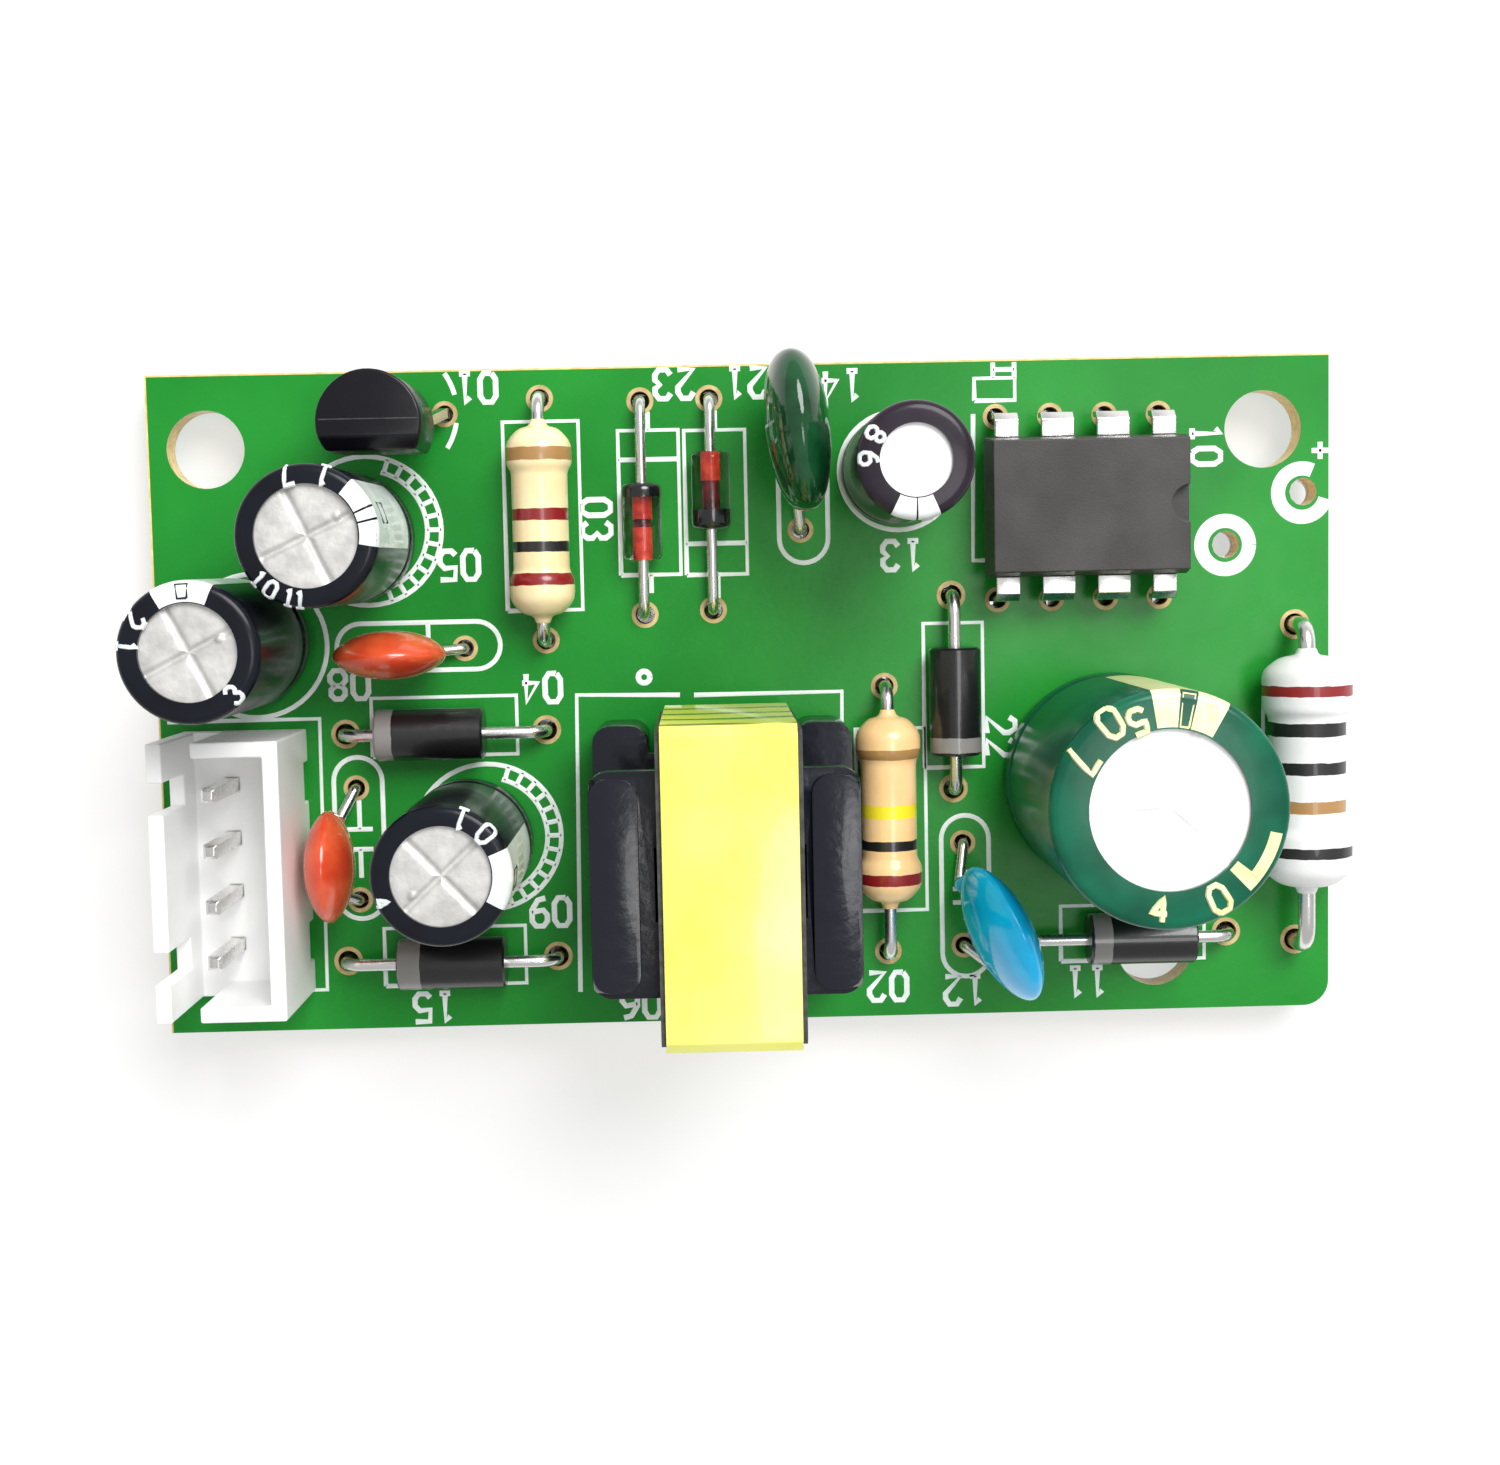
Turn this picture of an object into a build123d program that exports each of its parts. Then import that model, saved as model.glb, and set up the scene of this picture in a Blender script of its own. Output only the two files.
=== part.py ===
from build123d import *
import os
from math import cos, radians, sin

# A small mains power supply module: a drilled board with through-hole parts on its
# upper face and their wires soldered underneath. All lengths are in millimetres.
# The frame: +X along the board's length, +Y across it, +Z up from the board. The origin
# is on the board's underside, midway between the two fixing holes of the upper edge.
# Places on the board are measured from its lower left corner, and heights from its top.

# Board
board_thickness = 1.6
corner_radius = 1.2
fixing_pitch = 49.2
fixing_diameter = 3.6
fixing_from_left = 2.7
fixing_from_right = 3.1
fixing_from_top = 3.45
fixing_row = 27.35
third_fixing = (46.7, 2.95)
input_holes = ((53.8, 24.4), (50.15, 22.0))
input_hole_diameter = 1.3

# Wires, solder and small round bodies. What repeats this often is drawn with few sides.
wire_sides = 6
slug_sides = 8
seal_sides = 12
can_sides = 24
small_body_sides = 20
wire_tail = 1.2
drill_clearance = 0.25
solder_height = 0.75
solder_spread = 0.6
solder_tip_spread = 0.1

# Shrouded four-way header
header_width = 5.75
header_height = 7.0
header_floor = 1.0
header_wall = 0.7
header_end_margin = 2.45
pin_count = 4
pin_pitch = 2.5
pin_side = 0.64
pin_reach = 5.9
pin_row_from_open_side = 2.4
key_slot = 1.4
key_slot_depth = 4.0
end_slot = 1.25
header_centre = (4.0, 8.1)

# Can capacitors
medium_diameter = 6.0
medium_height = 11.4
medium_pitch = 2.5
small_diameter = 5.0
small_height = 10.9
small_pitch = 2.0
bulk_diameter = 10.0
bulk_height = 13.4
bulk_pitch = 5.0
sleeve_wall = 0.25
sleeve_ease = 0.4
sleeve_lip = 0.72
seal_depth = 0.9
seal_recess = 0.25
seal_inset = 0.4
vent_width = 0.42
vent_reach = 0.68
vent_depth = 0.12
can_wire = 0.6

# Fixed resistors
resistor_length = 8.7
resistor_diameter = 3.0
fusible_length = 10.8
fusible_diameter = 4.1
resistor_wire = 0.6
fusible_wire = 0.8

# Diodes
diode_length = 5.0
diode_diameter = 2.4
diode_wire = 0.76
glass_length = 3.5
glass_diameter = 1.8
slug_diameter = 0.9
slug_length = 1.55
glass_wire = 0.5

# Dipped capacitors
orange_diameter = 5.1
orange_thickness = 2.2
blue_diameter = 6.7
blue_thickness = 2.2
disc_wire = 0.5
film_length = 7.1
film_height = 7.2
film_thickness = 3.1

# Transistor
transistor_width = 4.6
transistor_depth = 3.5
transistor_height = 4.6
transistor_lift = 2.0
transistor_wire = 0.45
transistor_pitch = 1.27
transistor_hole_pitch = 2.54

# Controller in an eight-lead package
chip_length = 9.3
chip_width = 6.35
chip_height = 3.3
chip_lift = 0.5
chip_draft = 7
chip_pitch = 2.54
chip_row_pitch = 8.5
chip_lead_thickness = 0.25
chip_lead_width = 0.5
chip_shoulder_width = 1.5
chip_end_margin = 0.5

# Transformer
core_length = 13.0
core_depth = 6.0
core_half_height = 6.2
core_back = 1.6
core_leg = 1.5
core_centre_leg = 2.8
core_lift = 1.7
core_chamfer = 0.3
core_tape_wall = 0.25
core_tape_width = 5.6
bobbin_fit = 0.15
bobbin_wall = 0.5
bobbin_flange = 0.9
bobbin_pad = 0.35
flange_width = 11.3
flange_length = 9.5
winding_build = 1.7
rail_width = 2.5
rail_length = 12.0
rail_pin_pitch = 2.5
rail_pins = 5
rail_pin_wire = 0.6

underside = 0.0
board_top = underside + board_thickness
tip_level = underside - wire_tail

joints = []


def spot(x, y):
    """The place in the part's frame of a point measured from the board's corner."""
    return (x - fixing_from_left - fixing_pitch / 2, y - fixing_row)


def keep(piece, name):
    """Labels a finished piece and writes it."""
    piece.label = name
    export_step(piece, "parts/" + name + ".step")


def formed_wire(points, diameter):
    """Runs a wire along the points, inside the part that is being built.

    The many wires are drawn with six sides, to keep the model light.
    """
    with BuildLine() as route:
        Polyline(*points)
    with BuildSketch(Plane(route.line @ 0, z_dir=route.line % 0)) as section:
        RegularPolygon(diameter / 2, wire_sides)
    sweep(section.sketch, path=route.line, transition=Transition.RIGHT)


def eased(start, corner, end, ease):
    """Three points with the middle one cut back to two, as a bender's jaw leaves it."""
    before = Vector(*corner) + (Vector(*start) - Vector(*corner)).normalized() * ease
    after = Vector(*corner) + (Vector(*end) - Vector(*corner)).normalized() * ease
    return [start, tuple(before), tuple(after), end]


def solder(x, y, radius):
    """Notes a wire that comes through the board, to be drilled for and soldered."""
    joints.append((x, y, radius))


def axial_leads(name, line, ends, holes, height, wire, along):
    """The two wires of a part that lies on the board, from its end faces to their holes.

    line is the part's place across its length, ends and holes are places along it,
    and height is that of its axis above the board.
    """
    level = board_top + height
    with BuildPart() as leads:
        for end, hole in zip(ends, holes):
            run = [(end, level), (hole, level), (hole, tip_level)]
            if along == "x":
                places = [(*spot(s, line), z) for s, z in run]
            else:
                places = [(*spot(line, s), z) for s, z in run]
            formed_wire(eased(*places, 0.9 * wire), wire)
            solder(places[-1][0], places[-1][1], wire / 2)
    keep(leads.part, name)


def body_plane(centre, height, along):
    """A plane at a lying part's middle, whose X runs along the part's axis."""
    x_dir = (1, 0, 0) if along == "x" else (0, 1, 0)
    return Plane((*spot(*centre), board_top + height), x_dir=x_dir, z_dir=(0, 0, 1))


def centred_ends(middle, length):
    """Both ends of a length about its middle, the lower one first."""
    return (middle - length / 2, middle + length / 2)


def can_capacitor(name, place, diameter, height, pitch, lift, turn, vent):
    """A can capacitor: drawn can, shrunk sleeve, rubber seal and two wires.

    turn is the direction of the wires in degrees. vent lists the directions of the
    grooves that are pressed into the can's top, from its middle outwards.
    """
    x, y = spot(*place)
    foot = board_top + lift
    radius = diameter / 2 - sleeve_wall
    base = foot + seal_depth
    lip = sleeve_lip * radius

    with BuildPart() as can:
        with BuildSketch(Plane((x, y, base))):
            RegularPolygon(radius, can_sides)
        extrude(amount=foot + height - sleeve_wall - base)
        if vent:
            outwards = (Align.MIN, Align.CENTER)
            with BuildSketch(Plane((x, y, foot + height - sleeve_wall))):
                Circle(vent_width / 2)
                for way in vent:
                    Rectangle(vent_reach * radius, vent_width, rotation=way, align=outwards)
            extrude(amount=-vent_depth, mode=Mode.SUBTRACT)
    keep(can.part, name + "_can")

    with BuildPart() as sleeve:
        with BuildSketch(Plane((x, y, foot))):
            RegularPolygon(diameter / 2, can_sides)
        extrude(amount=height)
        chamfer(sleeve.edges().group_by(Axis.Z)[-1], sleeve_ease)
        for bore, depth in ((radius, height - sleeve_wall), (lip, height)):
            with BuildSketch(Plane((x, y, foot))) as opening:
                RegularPolygon(bore, can_sides)
            extrude(opening.sketch, amount=depth, mode=Mode.SUBTRACT)
    keep(sleeve.part, name + "_sleeve")

    with BuildPart() as seal:
        with BuildSketch(Plane((x, y, foot + seal_recess))):
            RegularPolygon(radius - seal_inset, seal_sides)
        extrude(amount=seal_depth - seal_recess)
    keep(seal.part, name + "_seal")

    with BuildPart() as leads:
        for side in (-1, 1):
            wire_x = x + side * pitch / 2 * cos(radians(turn))
            wire_y = y + side * pitch / 2 * sin(radians(turn))
            with BuildSketch(Plane((wire_x, wire_y, tip_level))):
                RegularPolygon(can_wire / 2, wire_sides)
            extrude(amount=foot + seal_recess - tip_level)
            solder(wire_x, wire_y, can_wire / 2)
    keep(leads.part, name + "_leads")


def resistor(name, line, middle, holes, length, diameter, wire):
    """A film resistor with a bulge over each end cap, lying across the board."""
    height = diameter / 2
    bulge = 0.26 * length
    with BuildPart() as body:
        lying = body_plane((line, middle), height, "y")
        across = Plane(lying.origin, x_dir=(1, 0, 0), z_dir=lying.x_dir)
        for side in (-1, 1):
            with BuildSketch(across.offset(side * length / 2)) as end:
                RegularPolygon(diameter / 2, small_body_sides)
            extrude(end.sketch, amount=-side * bulge)
        chamfer(body.faces().filter_by(Axis.Y).edges(), 0.12 * diameter)
        with BuildSketch(across) as waist:
            RegularPolygon(0.43 * diameter, small_body_sides)
        extrude(waist.sketch, amount=length / 2 - bulge / 2, both=True)
    keep(body.part, name + "_body")
    axial_leads(name + "_leads", line, centred_ends(middle, length), holes, height, wire, "y")


def diode(name, line, middle, holes, along):
    """A moulded diode: a plain cylinder with eased ends, and its two wires."""
    height = diode_diameter / 2
    centre = (middle, line) if along == "x" else (line, middle)
    with BuildPart() as body:
        lying = body_plane(centre, height, along)
        with BuildSketch(Plane(lying.origin, x_dir=lying.y_dir, z_dir=lying.x_dir)):
            RegularPolygon(diode_diameter / 2, small_body_sides)
        extrude(amount=diode_length / 2, both=True)
        ends = body.faces().filter_by(Axis(lying.origin, lying.x_dir))
        chamfer(ends.edges(), 0.08 * diode_diameter)
    keep(body.part, name + "_body")
    reach = centred_ends(middle, diode_length)
    axial_leads(name + "_leads", line, reach, holes, height, diode_wire, along)


def glass_diode(name, line, middle, holes):
    """A glass diode: a bead with an open bore, and two wires that end in slugs."""
    height = glass_diameter / 2
    level = board_top + height
    with BuildPart() as glass:
        lying = body_plane((line, middle), height, "y")
        with BuildSketch(Plane(lying.origin, x_dir=(1, 0, 0), z_dir=lying.x_dir)):
            RegularPolygon(glass_diameter / 2, small_body_sides)
        extrude(amount=glass_length / 2, both=True)
        chamfer(glass.faces().filter_by(Axis.Y).edges(), 0.2 * glass_diameter)
        with BuildSketch(Plane(lying.origin, x_dir=(1, 0, 0), z_dir=lying.x_dir)):
            RegularPolygon(slug_diameter / 2, slug_sides)
        extrude(amount=glass_length, both=True, mode=Mode.SUBTRACT)
    keep(glass.part, name + "_bead")

    with BuildPart() as leads:
        for side, hole in zip((-1, 1), holes):
            inner = middle + side * (glass_length / 2 - slug_length)
            outer = inner + side * slug_length
            run = [(outer, level), (hole, level), (hole, tip_level)]
            places = [(*spot(line, s), z) for s, z in run]
            formed_wire(eased(*places, 0.9 * glass_wire), glass_wire)
            face = Plane((*spot(line, inner), level), x_dir=(1, 0, 0), z_dir=(0, side, 0))
            with BuildSketch(face) as section:
                RegularPolygon(slug_diameter / 2, slug_sides)
            extrude(section.sketch, amount=slug_length)
            solder(places[-1][0], places[-1][1], glass_wire / 2)
    keep(leads.part, name + "_leads")


def disc_capacitor(name, centre, holes, diameter, thickness, lift, turn):
    """A dipped disc on edge: a lens whose coating runs down a little over both wires.

    turn is the direction of the disc's plane in degrees, seen from above.
    """
    x, y = spot(*centre)
    run_x = cos(radians(turn))
    run_y = sin(radians(turn))
    drip = 0.34 * diameter
    neck = board_top + lift
    middle = neck + diameter / 2
    disc_face = Plane((x, y, middle), x_dir=(0, 0, 1), z_dir=(-run_y, run_x, 0))
    with BuildPart() as body:
        with BuildSketch(disc_face) as section:
            RegularPolygon(diameter / 2, small_body_sides)
        extrude(section.sketch, amount=thickness / 2, both=True)
        faces = body.faces().filter_by(Axis(disc_face.origin, disc_face.z_dir))
        chamfer(faces.edges(), 0.4 * thickness)
        for side in (-1, 1):
            foot = (x + side * drip * run_x, y + side * drip * run_y)
            with BuildSketch(Plane((*foot, neck))) as drop:
                RegularPolygon(0.75 * disc_wire, wire_sides)
            extrude(drop.sketch, amount=0.35 * diameter)
    keep(body.part, name + "_body")

    with BuildPart() as leads:
        for side, hole in zip((-1, 1), holes):
            foot_x = x + side * drip * run_x
            foot_y = y + side * drip * run_y
            hole_x, hole_y = spot(*hole)
            places = [
                (foot_x, foot_y, neck),
                (foot_x, foot_y, neck - 0.3 * lift),
                (hole_x, hole_y, board_top + 0.25 * lift),
                (hole_x, hole_y, tip_level),
            ]
            formed_wire(places, disc_wire)
            solder(hole_x, hole_y, disc_wire / 2)
    keep(leads.part, name + "_leads")


def film_capacitor(name, centre, holes, lift):
    """A dipped film capacitor: a pillow that thins towards both ends, on two wires."""
    x, y = spot(*centre)
    neck = board_top + lift
    middle = neck + film_height / 2
    corner = 0.22 * film_height
    tip = 0.14 * film_thickness
    with BuildPart() as body:
        with BuildSketch(Plane((x, y, middle), x_dir=(0, 1, 0), z_dir=(1, 0, 0))):
            Rectangle(film_length, film_height)
            chamfer(vertices(), corner)
        extrude(amount=film_thickness / 2, both=True)
        with BuildSketch(Plane((x, y, neck))) as plan:
            with BuildLine():
                ThreePointArc(
                    (-tip, film_length / 2), (-film_thickness / 2, 0), (-tip, -film_length / 2)
                )
                Line((-tip, -film_length / 2), (tip, -film_length / 2))
                ThreePointArc(
                    (tip, -film_length / 2), (film_thickness / 2, 0), (tip, film_length / 2)
                )
                Line((tip, film_length / 2), (-tip, film_length / 2))
            make_face()
        extrude(plan.sketch, amount=film_height, mode=Mode.INTERSECT)
        caps = body.faces().group_by(Axis.Z)[-1] + body.faces().group_by(Axis.Z)[0]
        chamfer(caps.edges().filter_by(Axis.Y, reverse=True).filter_by(Axis.X, reverse=True), tip)
    keep(body.part, name + "_body")

    with BuildPart() as leads:
        for side, hole in zip((-1, 1), holes):
            foot = (x, y + side * 0.3 * film_length)
            hole_x, hole_y = spot(*hole)
            places = [
                (*foot, neck),
                (*foot, neck - 0.3 * lift),
                (hole_x, hole_y, board_top + 0.25 * lift),
                (hole_x, hole_y, tip_level),
            ]
            formed_wire(places, disc_wire)
            solder(hole_x, hole_y, disc_wire / 2)
    keep(leads.part, name + "_leads")


def transistor(name, centre, hole_row):
    """A three-lead transistor with a rounded back and a flat, bevelled front."""
    x, y = spot(*centre)
    bottom = board_top + transistor_lift
    front = transistor_depth - transistor_width / 2
    with BuildPart() as body:
        with BuildSketch(Plane((x, y, bottom))):
            Circle(transistor_width / 2)
            with Locations((0, -front - transistor_width)):
                Rectangle(2 * transistor_width, 2 * transistor_width, mode=Mode.SUBTRACT)
        extrude(amount=transistor_height)
        front_top = body.faces().sort_by(Axis.Y)[0].edges().sort_by(Axis.Z)[-1]
        chamfer(front_top, 0.12 * transistor_height)
    keep(body.part, name + "_body")

    with BuildPart() as leads:
        for side in (-1, 0, 1):
            foot = (x + side * transistor_pitch, y)
            hole_x = x + side * transistor_hole_pitch
            hole_y = spot(0, hole_row)[1]
            with BuildLine() as route:
                Polyline(
                    (*foot, bottom),
                    (*foot, bottom - 0.2 * transistor_lift),
                    (hole_x, hole_y, board_top + 0.3 * transistor_lift),
                    (hole_x, hole_y, tip_level),
                )
            start = Plane(route.line @ 0, x_dir=(1, 0, 0), z_dir=route.line % 0)
            with BuildSketch(start) as section:
                Rectangle(transistor_wire, transistor_wire)
            sweep(section.sketch, path=route.line, transition=Transition.RIGHT)
            solder(hole_x, hole_y, transistor_wire * 0.72)
    keep(leads.part, name + "_leads")


def controller(name, centre):
    """The controller chip: a moulded body in two drafted halves on eight formed leads."""
    x, y = spot(*centre)
    parting = board_top + chip_lift + chip_height / 2
    with BuildPart() as body:
        for way in (-1, 1):
            with BuildSketch(Plane((x, y, parting))) as outline:
                Rectangle(chip_length, chip_width)
            extrude(outline.sketch, amount=way * chip_height / 2, taper=chip_draft)
        with BuildSketch(Plane((x, y, parting + chip_height / 2))) as notch:
            with Locations((chip_length / 2 - 0.2, 0)):
                Circle(0.13 * chip_width)
        extrude(notch.sketch, amount=-0.2 * chip_height, mode=Mode.SUBTRACT)
    keep(body.part, name + "_body")

    thickness = chip_lead_thickness
    knee = chip_width / 2 + 3 * thickness
    shoulder_drop = 0.45 * (parting - board_top)
    with BuildPart() as leads:
        for place in range(4):
            lead_x = x + (place - 1.5) * chip_pitch
            for side in (-1, 1):
                hole_y = y + side * chip_row_pitch / 2
                route_plane = Plane((lead_x, y, 0), x_dir=(0, side, 0), z_dir=(side, 0, 0))
                with BuildSketch(route_plane) as strip:
                    with BuildLine() as route:
                        Polyline(
                            (chip_width / 2, parting),
                            (knee, parting),
                            (knee + thickness, parting - thickness),
                            (chip_row_pitch / 2, board_top),
                            (chip_row_pitch / 2, tip_level),
                        )
                    trace(route.line, line_width=thickness)
                with BuildSketch(route_plane) as upper:
                    with Locations((knee, parting)):
                        Rectangle(4 * knee, 2 * shoulder_drop)
                extrude(strip.sketch, amount=chip_lead_width / 2, both=True)
                extrude(strip.sketch & upper.sketch, amount=chip_shoulder_width / 2, both=True)
                solder(lead_x, hole_y, chip_lead_width / 2 + 0.03)
        inner = chip_length / 2 - chip_end_margin
        with BuildSketch(Plane((x, y, underside))) as trimmed:
            for side in (-1, 1):
                with Locations((side * (inner + chip_length / 2), 0)):
                    Rectangle(chip_length, 2 * chip_row_pitch)
        extrude(trimmed.sketch, amount=2 * parting, mode=Mode.SUBTRACT)
    keep(leads.part, name + "_leads")


def header(name, centre):
    """The shrouded header: an open-topped housing round a row of square pins."""
    x, y = spot(*centre)
    length = (pin_count - 1) * pin_pitch + 2 * header_end_margin
    open_face = x - header_width / 2
    pin_x = open_face + pin_row_from_open_side
    end_pin = (pin_count - 1) * pin_pitch / 2
    top = board_top + header_height
    floor = board_top + header_floor
    with BuildPart() as housing:
        with BuildSketch(Plane((x, y, board_top))):
            Rectangle(header_width, length)
        extrude(amount=header_height)
        with BuildSketch(Plane((x, y, floor))):
            Rectangle(header_width - 2 * header_wall, length - 2 * header_wall)
        extrude(amount=header_height, mode=Mode.SUBTRACT)
        with BuildSketch(Plane((open_face, y, top - key_slot_depth))):
            with Locations((0, -end_pin), (0, end_pin)):
                Rectangle(2 * header_wall, key_slot)
        extrude(amount=key_slot_depth, mode=Mode.SUBTRACT)
        with BuildSketch(Plane((open_face + header_wall + end_slot / 2, y, floor))):
            with Locations((0, -length / 2), (0, length / 2)):
                Rectangle(end_slot, 2 * header_wall)
        extrude(amount=header_height, mode=Mode.SUBTRACT)
        with BuildSketch(Plane((open_face + header_width, y, board_top))):
            with Locations((0, -end_pin), (0, end_pin)):
                Rectangle(header_wall, 1.3 * key_slot)
        extrude(amount=header_floor, mode=Mode.SUBTRACT)
        with BuildSketch(Plane((pin_x, y, board_top))):
            with GridLocations(1, pin_pitch, 1, pin_count):
                Rectangle(pin_side, pin_side)
        extrude(amount=header_floor, mode=Mode.SUBTRACT)
    keep(housing.part, name + "_housing")

    with BuildPart() as pins:
        with BuildSketch(Plane((pin_x, y, tip_level))):
            with GridLocations(1, pin_pitch, 1, pin_count):
                Rectangle(pin_side, pin_side)
        extrude(amount=board_top + pin_reach - tip_level)
        chamfer(pins.edges().group_by(Axis.Z)[-1], 0.2 * pin_side)
    keep(pins.part, name + "_pins")
    for place in range(pin_count):
        solder(pin_x, y + (place - (pin_count - 1) / 2) * pin_pitch, 0.72 * pin_side)


def transformer(name, centre, core_shift):
    """A small transformer: bobbin with pin rails, winding, two core halves and their tape.

    core_shift is how far the core's middle lies from the bobbin's, along X.
    """
    x, y = spot(*centre)
    core_x = x + core_shift
    core_foot = board_top + core_lift
    core_middle = core_foot + core_half_height
    window_low = core_foot + core_back
    window_high = core_middle + core_half_height - core_back
    tube_width = core_depth + 2 * (bobbin_fit + abs(core_shift) + bobbin_wall)
    tube_length = core_centre_leg + 2 * (bobbin_fit + bobbin_wall)
    flange_gap = 0.1
    low = window_low + flange_gap
    high = window_high - flange_gap
    rail_middle = (flange_width + 0.4) / 2 - rail_width / 2
    pin_row = rail_middle + 0.3

    with BuildPart() as bobbin:
        with BuildSketch(Plane((x, y, low)), Plane((x, y, high - bobbin_flange))):
            RectangleRounded(flange_width, flange_length, 0.09 * flange_length)
        extrude(amount=bobbin_flange)
        with BuildSketch(Plane((x, y, low))):
            Rectangle(tube_width, tube_length)
        extrude(amount=high - low)
        with BuildSketch(Plane((x, y, high))):
            with Locations((-rail_middle, 0), (rail_middle, 0)):
                Rectangle(0.8 * rail_width, 0.94 * flange_length)
        extrude(amount=bobbin_pad)
        with BuildSketch(Plane((x, y, board_top))):
            with Locations((-rail_middle, 0), (rail_middle, 0)):
                Rectangle(rail_width, rail_length)
        extrude(amount=low + bobbin_flange - board_top)
        with BuildSketch(Plane((x, y, board_top))):
            for side in (-1, 1):
                with Locations((side * (rail_middle + rail_width / 2), 0)):
                    with GridLocations(1, rail_pin_pitch, 1, rail_pins - 1):
                        Rectangle(0.5 * rail_width, 0.32 * rail_pin_pitch)
        extrude(amount=0.6 * (low - board_top), mode=Mode.SUBTRACT)
        with BuildSketch(Plane((core_x, y, low))):
            Rectangle(core_depth + 2 * bobbin_fit, core_centre_leg + 2 * bobbin_fit)
        extrude(amount=high - low, mode=Mode.SUBTRACT)
    keep(bobbin.part, name + "_bobbin")

    with BuildPart() as winding:
        with BuildSketch(Plane((x, y, low + bobbin_flange))):
            RectangleRounded(
                tube_width + 2 * winding_build, tube_length + 2 * winding_build, winding_build
            )
            Rectangle(tube_width, tube_length, mode=Mode.SUBTRACT)
        extrude(amount=high - low - 2 * bobbin_flange)
    keep(winding.part, name + "_winding")

    window_length = core_length - 2 * core_leg
    for half, way in (("lower", 1), ("upper", -1)):
        foot = core_middle - way * core_half_height
        lying = Plane((core_x, y, foot), x_dir=(0, 1, 0), z_dir=(1, 0, 0))
        with BuildPart() as core:
            with BuildSketch(lying):
                with Locations((0, way * core_half_height / 2)):
                    Rectangle(core_length, core_half_height)
                leg_top = way * (core_half_height + core_back) / 2
                with Locations((0, leg_top)):
                    Rectangle(window_length, core_half_height - core_back, mode=Mode.SUBTRACT)
                    Rectangle(core_centre_leg, core_half_height - core_back)
            extrude(amount=core_depth / 2, both=True)
            corners = core.edges().filter_by(Axis.X).group_by(Axis.Z)[0 if way == 1 else -1]
            chamfer(corners, core_chamfer)
        keep(core.part, name + "_core_" + half)

    with BuildPart() as tape:
        with BuildSketch(Plane((core_x, y, core_middle), x_dir=(0, 1, 0), z_dir=(1, 0, 0))):
            Rectangle(core_length + 2 * core_tape_wall, 2 * core_half_height + 2 * core_tape_wall)
            chamfer(vertices(), core_chamfer + 0.6 * core_tape_wall)
            Rectangle(core_length, 2 * core_half_height, mode=Mode.SUBTRACT)
        extrude(amount=core_tape_width / 2, both=True)
    keep(tape.part, name + "_core_tape")

    with BuildPart() as pins:
        with BuildSketch(Plane((x, y, tip_level))):
            for side in (-1, 1):
                with Locations((side * pin_row, 0)):
                    with GridLocations(1, rail_pin_pitch, 1, rail_pins):
                        RegularPolygon(rail_pin_wire / 2, wire_sides)
        extrude(amount=board_top - tip_level)
    keep(pins.part, name + "_pins")
    for side in (-1, 1):
        for place in range(rail_pins):
            pin_y = y + (place - (rail_pins - 1) / 2) * rail_pin_pitch
            solder(x + side * pin_row, pin_y, rail_pin_wire / 2)


def circuit_board():
    """The board, with its holes drilled for every wire that was noted."""
    left, bottom = spot(0, 0)
    length = fixing_from_left + fixing_pitch + fixing_from_right
    width = fixing_row + fixing_from_top
    with BuildPart() as board:
        with BuildSketch(Plane((left + length / 2, bottom + width / 2, underside))):
            Rectangle(length, width)
        extrude(amount=board_thickness)
        lower_right = board.edges().filter_by(Axis.Z).sort_by(Axis.Y)[0:2].sort_by(Axis.X)[-1]
        fillet(lower_right, corner_radius)
        with BuildSketch(Plane.XY.offset(underside)):
            for x, y, radius in joints:
                with Locations((x, y)):
                    RegularPolygon(radius + drill_clearance, wire_sides)
            with Locations((-fixing_pitch / 2, 0), (fixing_pitch / 2, 0), spot(*third_fixing)):
                Circle(fixing_diameter / 2)
            with Locations(*[spot(*place) for place in input_holes]):
                RegularPolygon(input_hole_diameter / 2, seal_sides)
        extrude(amount=board_thickness, mode=Mode.SUBTRACT)
    keep(board.part, "circuit_board")


def solder_joints():
    """A four-sided cone of solder round every wire, under the board."""
    turned = (-90, 0, 0)
    with BuildPart() as cones:
        for x, y, radius in joints:
            foot = radius + solder_spread
            low = foot - radius - solder_tip_spread
            high = foot + radius + solder_tip_spread
            with Locations((x, y, underside - solder_height / 2)):
                Wedge(2 * foot, solder_height, 2 * foot, low, low, high, high, rotation=turned)
        with BuildSketch(Plane.XY.offset(underside)) as bores:
            for x, y, radius in joints:
                with Locations((x, y)):
                    RegularPolygon(radius, wire_sides, major_radius=False)
        extrude(bores.sketch, amount=-solder_height, mode=Mode.SUBTRACT)
    keep(cones.part, "solder_joints")


header("header", header_centre)

medium_can = (medium_diameter, medium_height, medium_pitch)
small_can = (small_diameter, small_height, small_pitch)
bulk_can = (bulk_diameter, bulk_height, bulk_pitch)
can_capacitor("output_capacitor", (9.3, 23.1), *medium_can, 0.1, 0, (25, 115, 205, 295))
can_capacitor("filter_capacitor", (4.35, 18.4), *medium_can, 0.5, 90, (27, 117, 207, 297))
can_capacitor("side_capacitor", (14.4, 8.85), *medium_can, 0.3, 0, (43, 133, 223, 313))
can_capacitor("supply_capacitor", (34.6, 25.75), *small_can, 0.1, 90, ())
can_capacitor("mains_capacitor", (44.55, 11.15), *bulk_can, 0.2, 90, (71, 184, 318))

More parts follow.
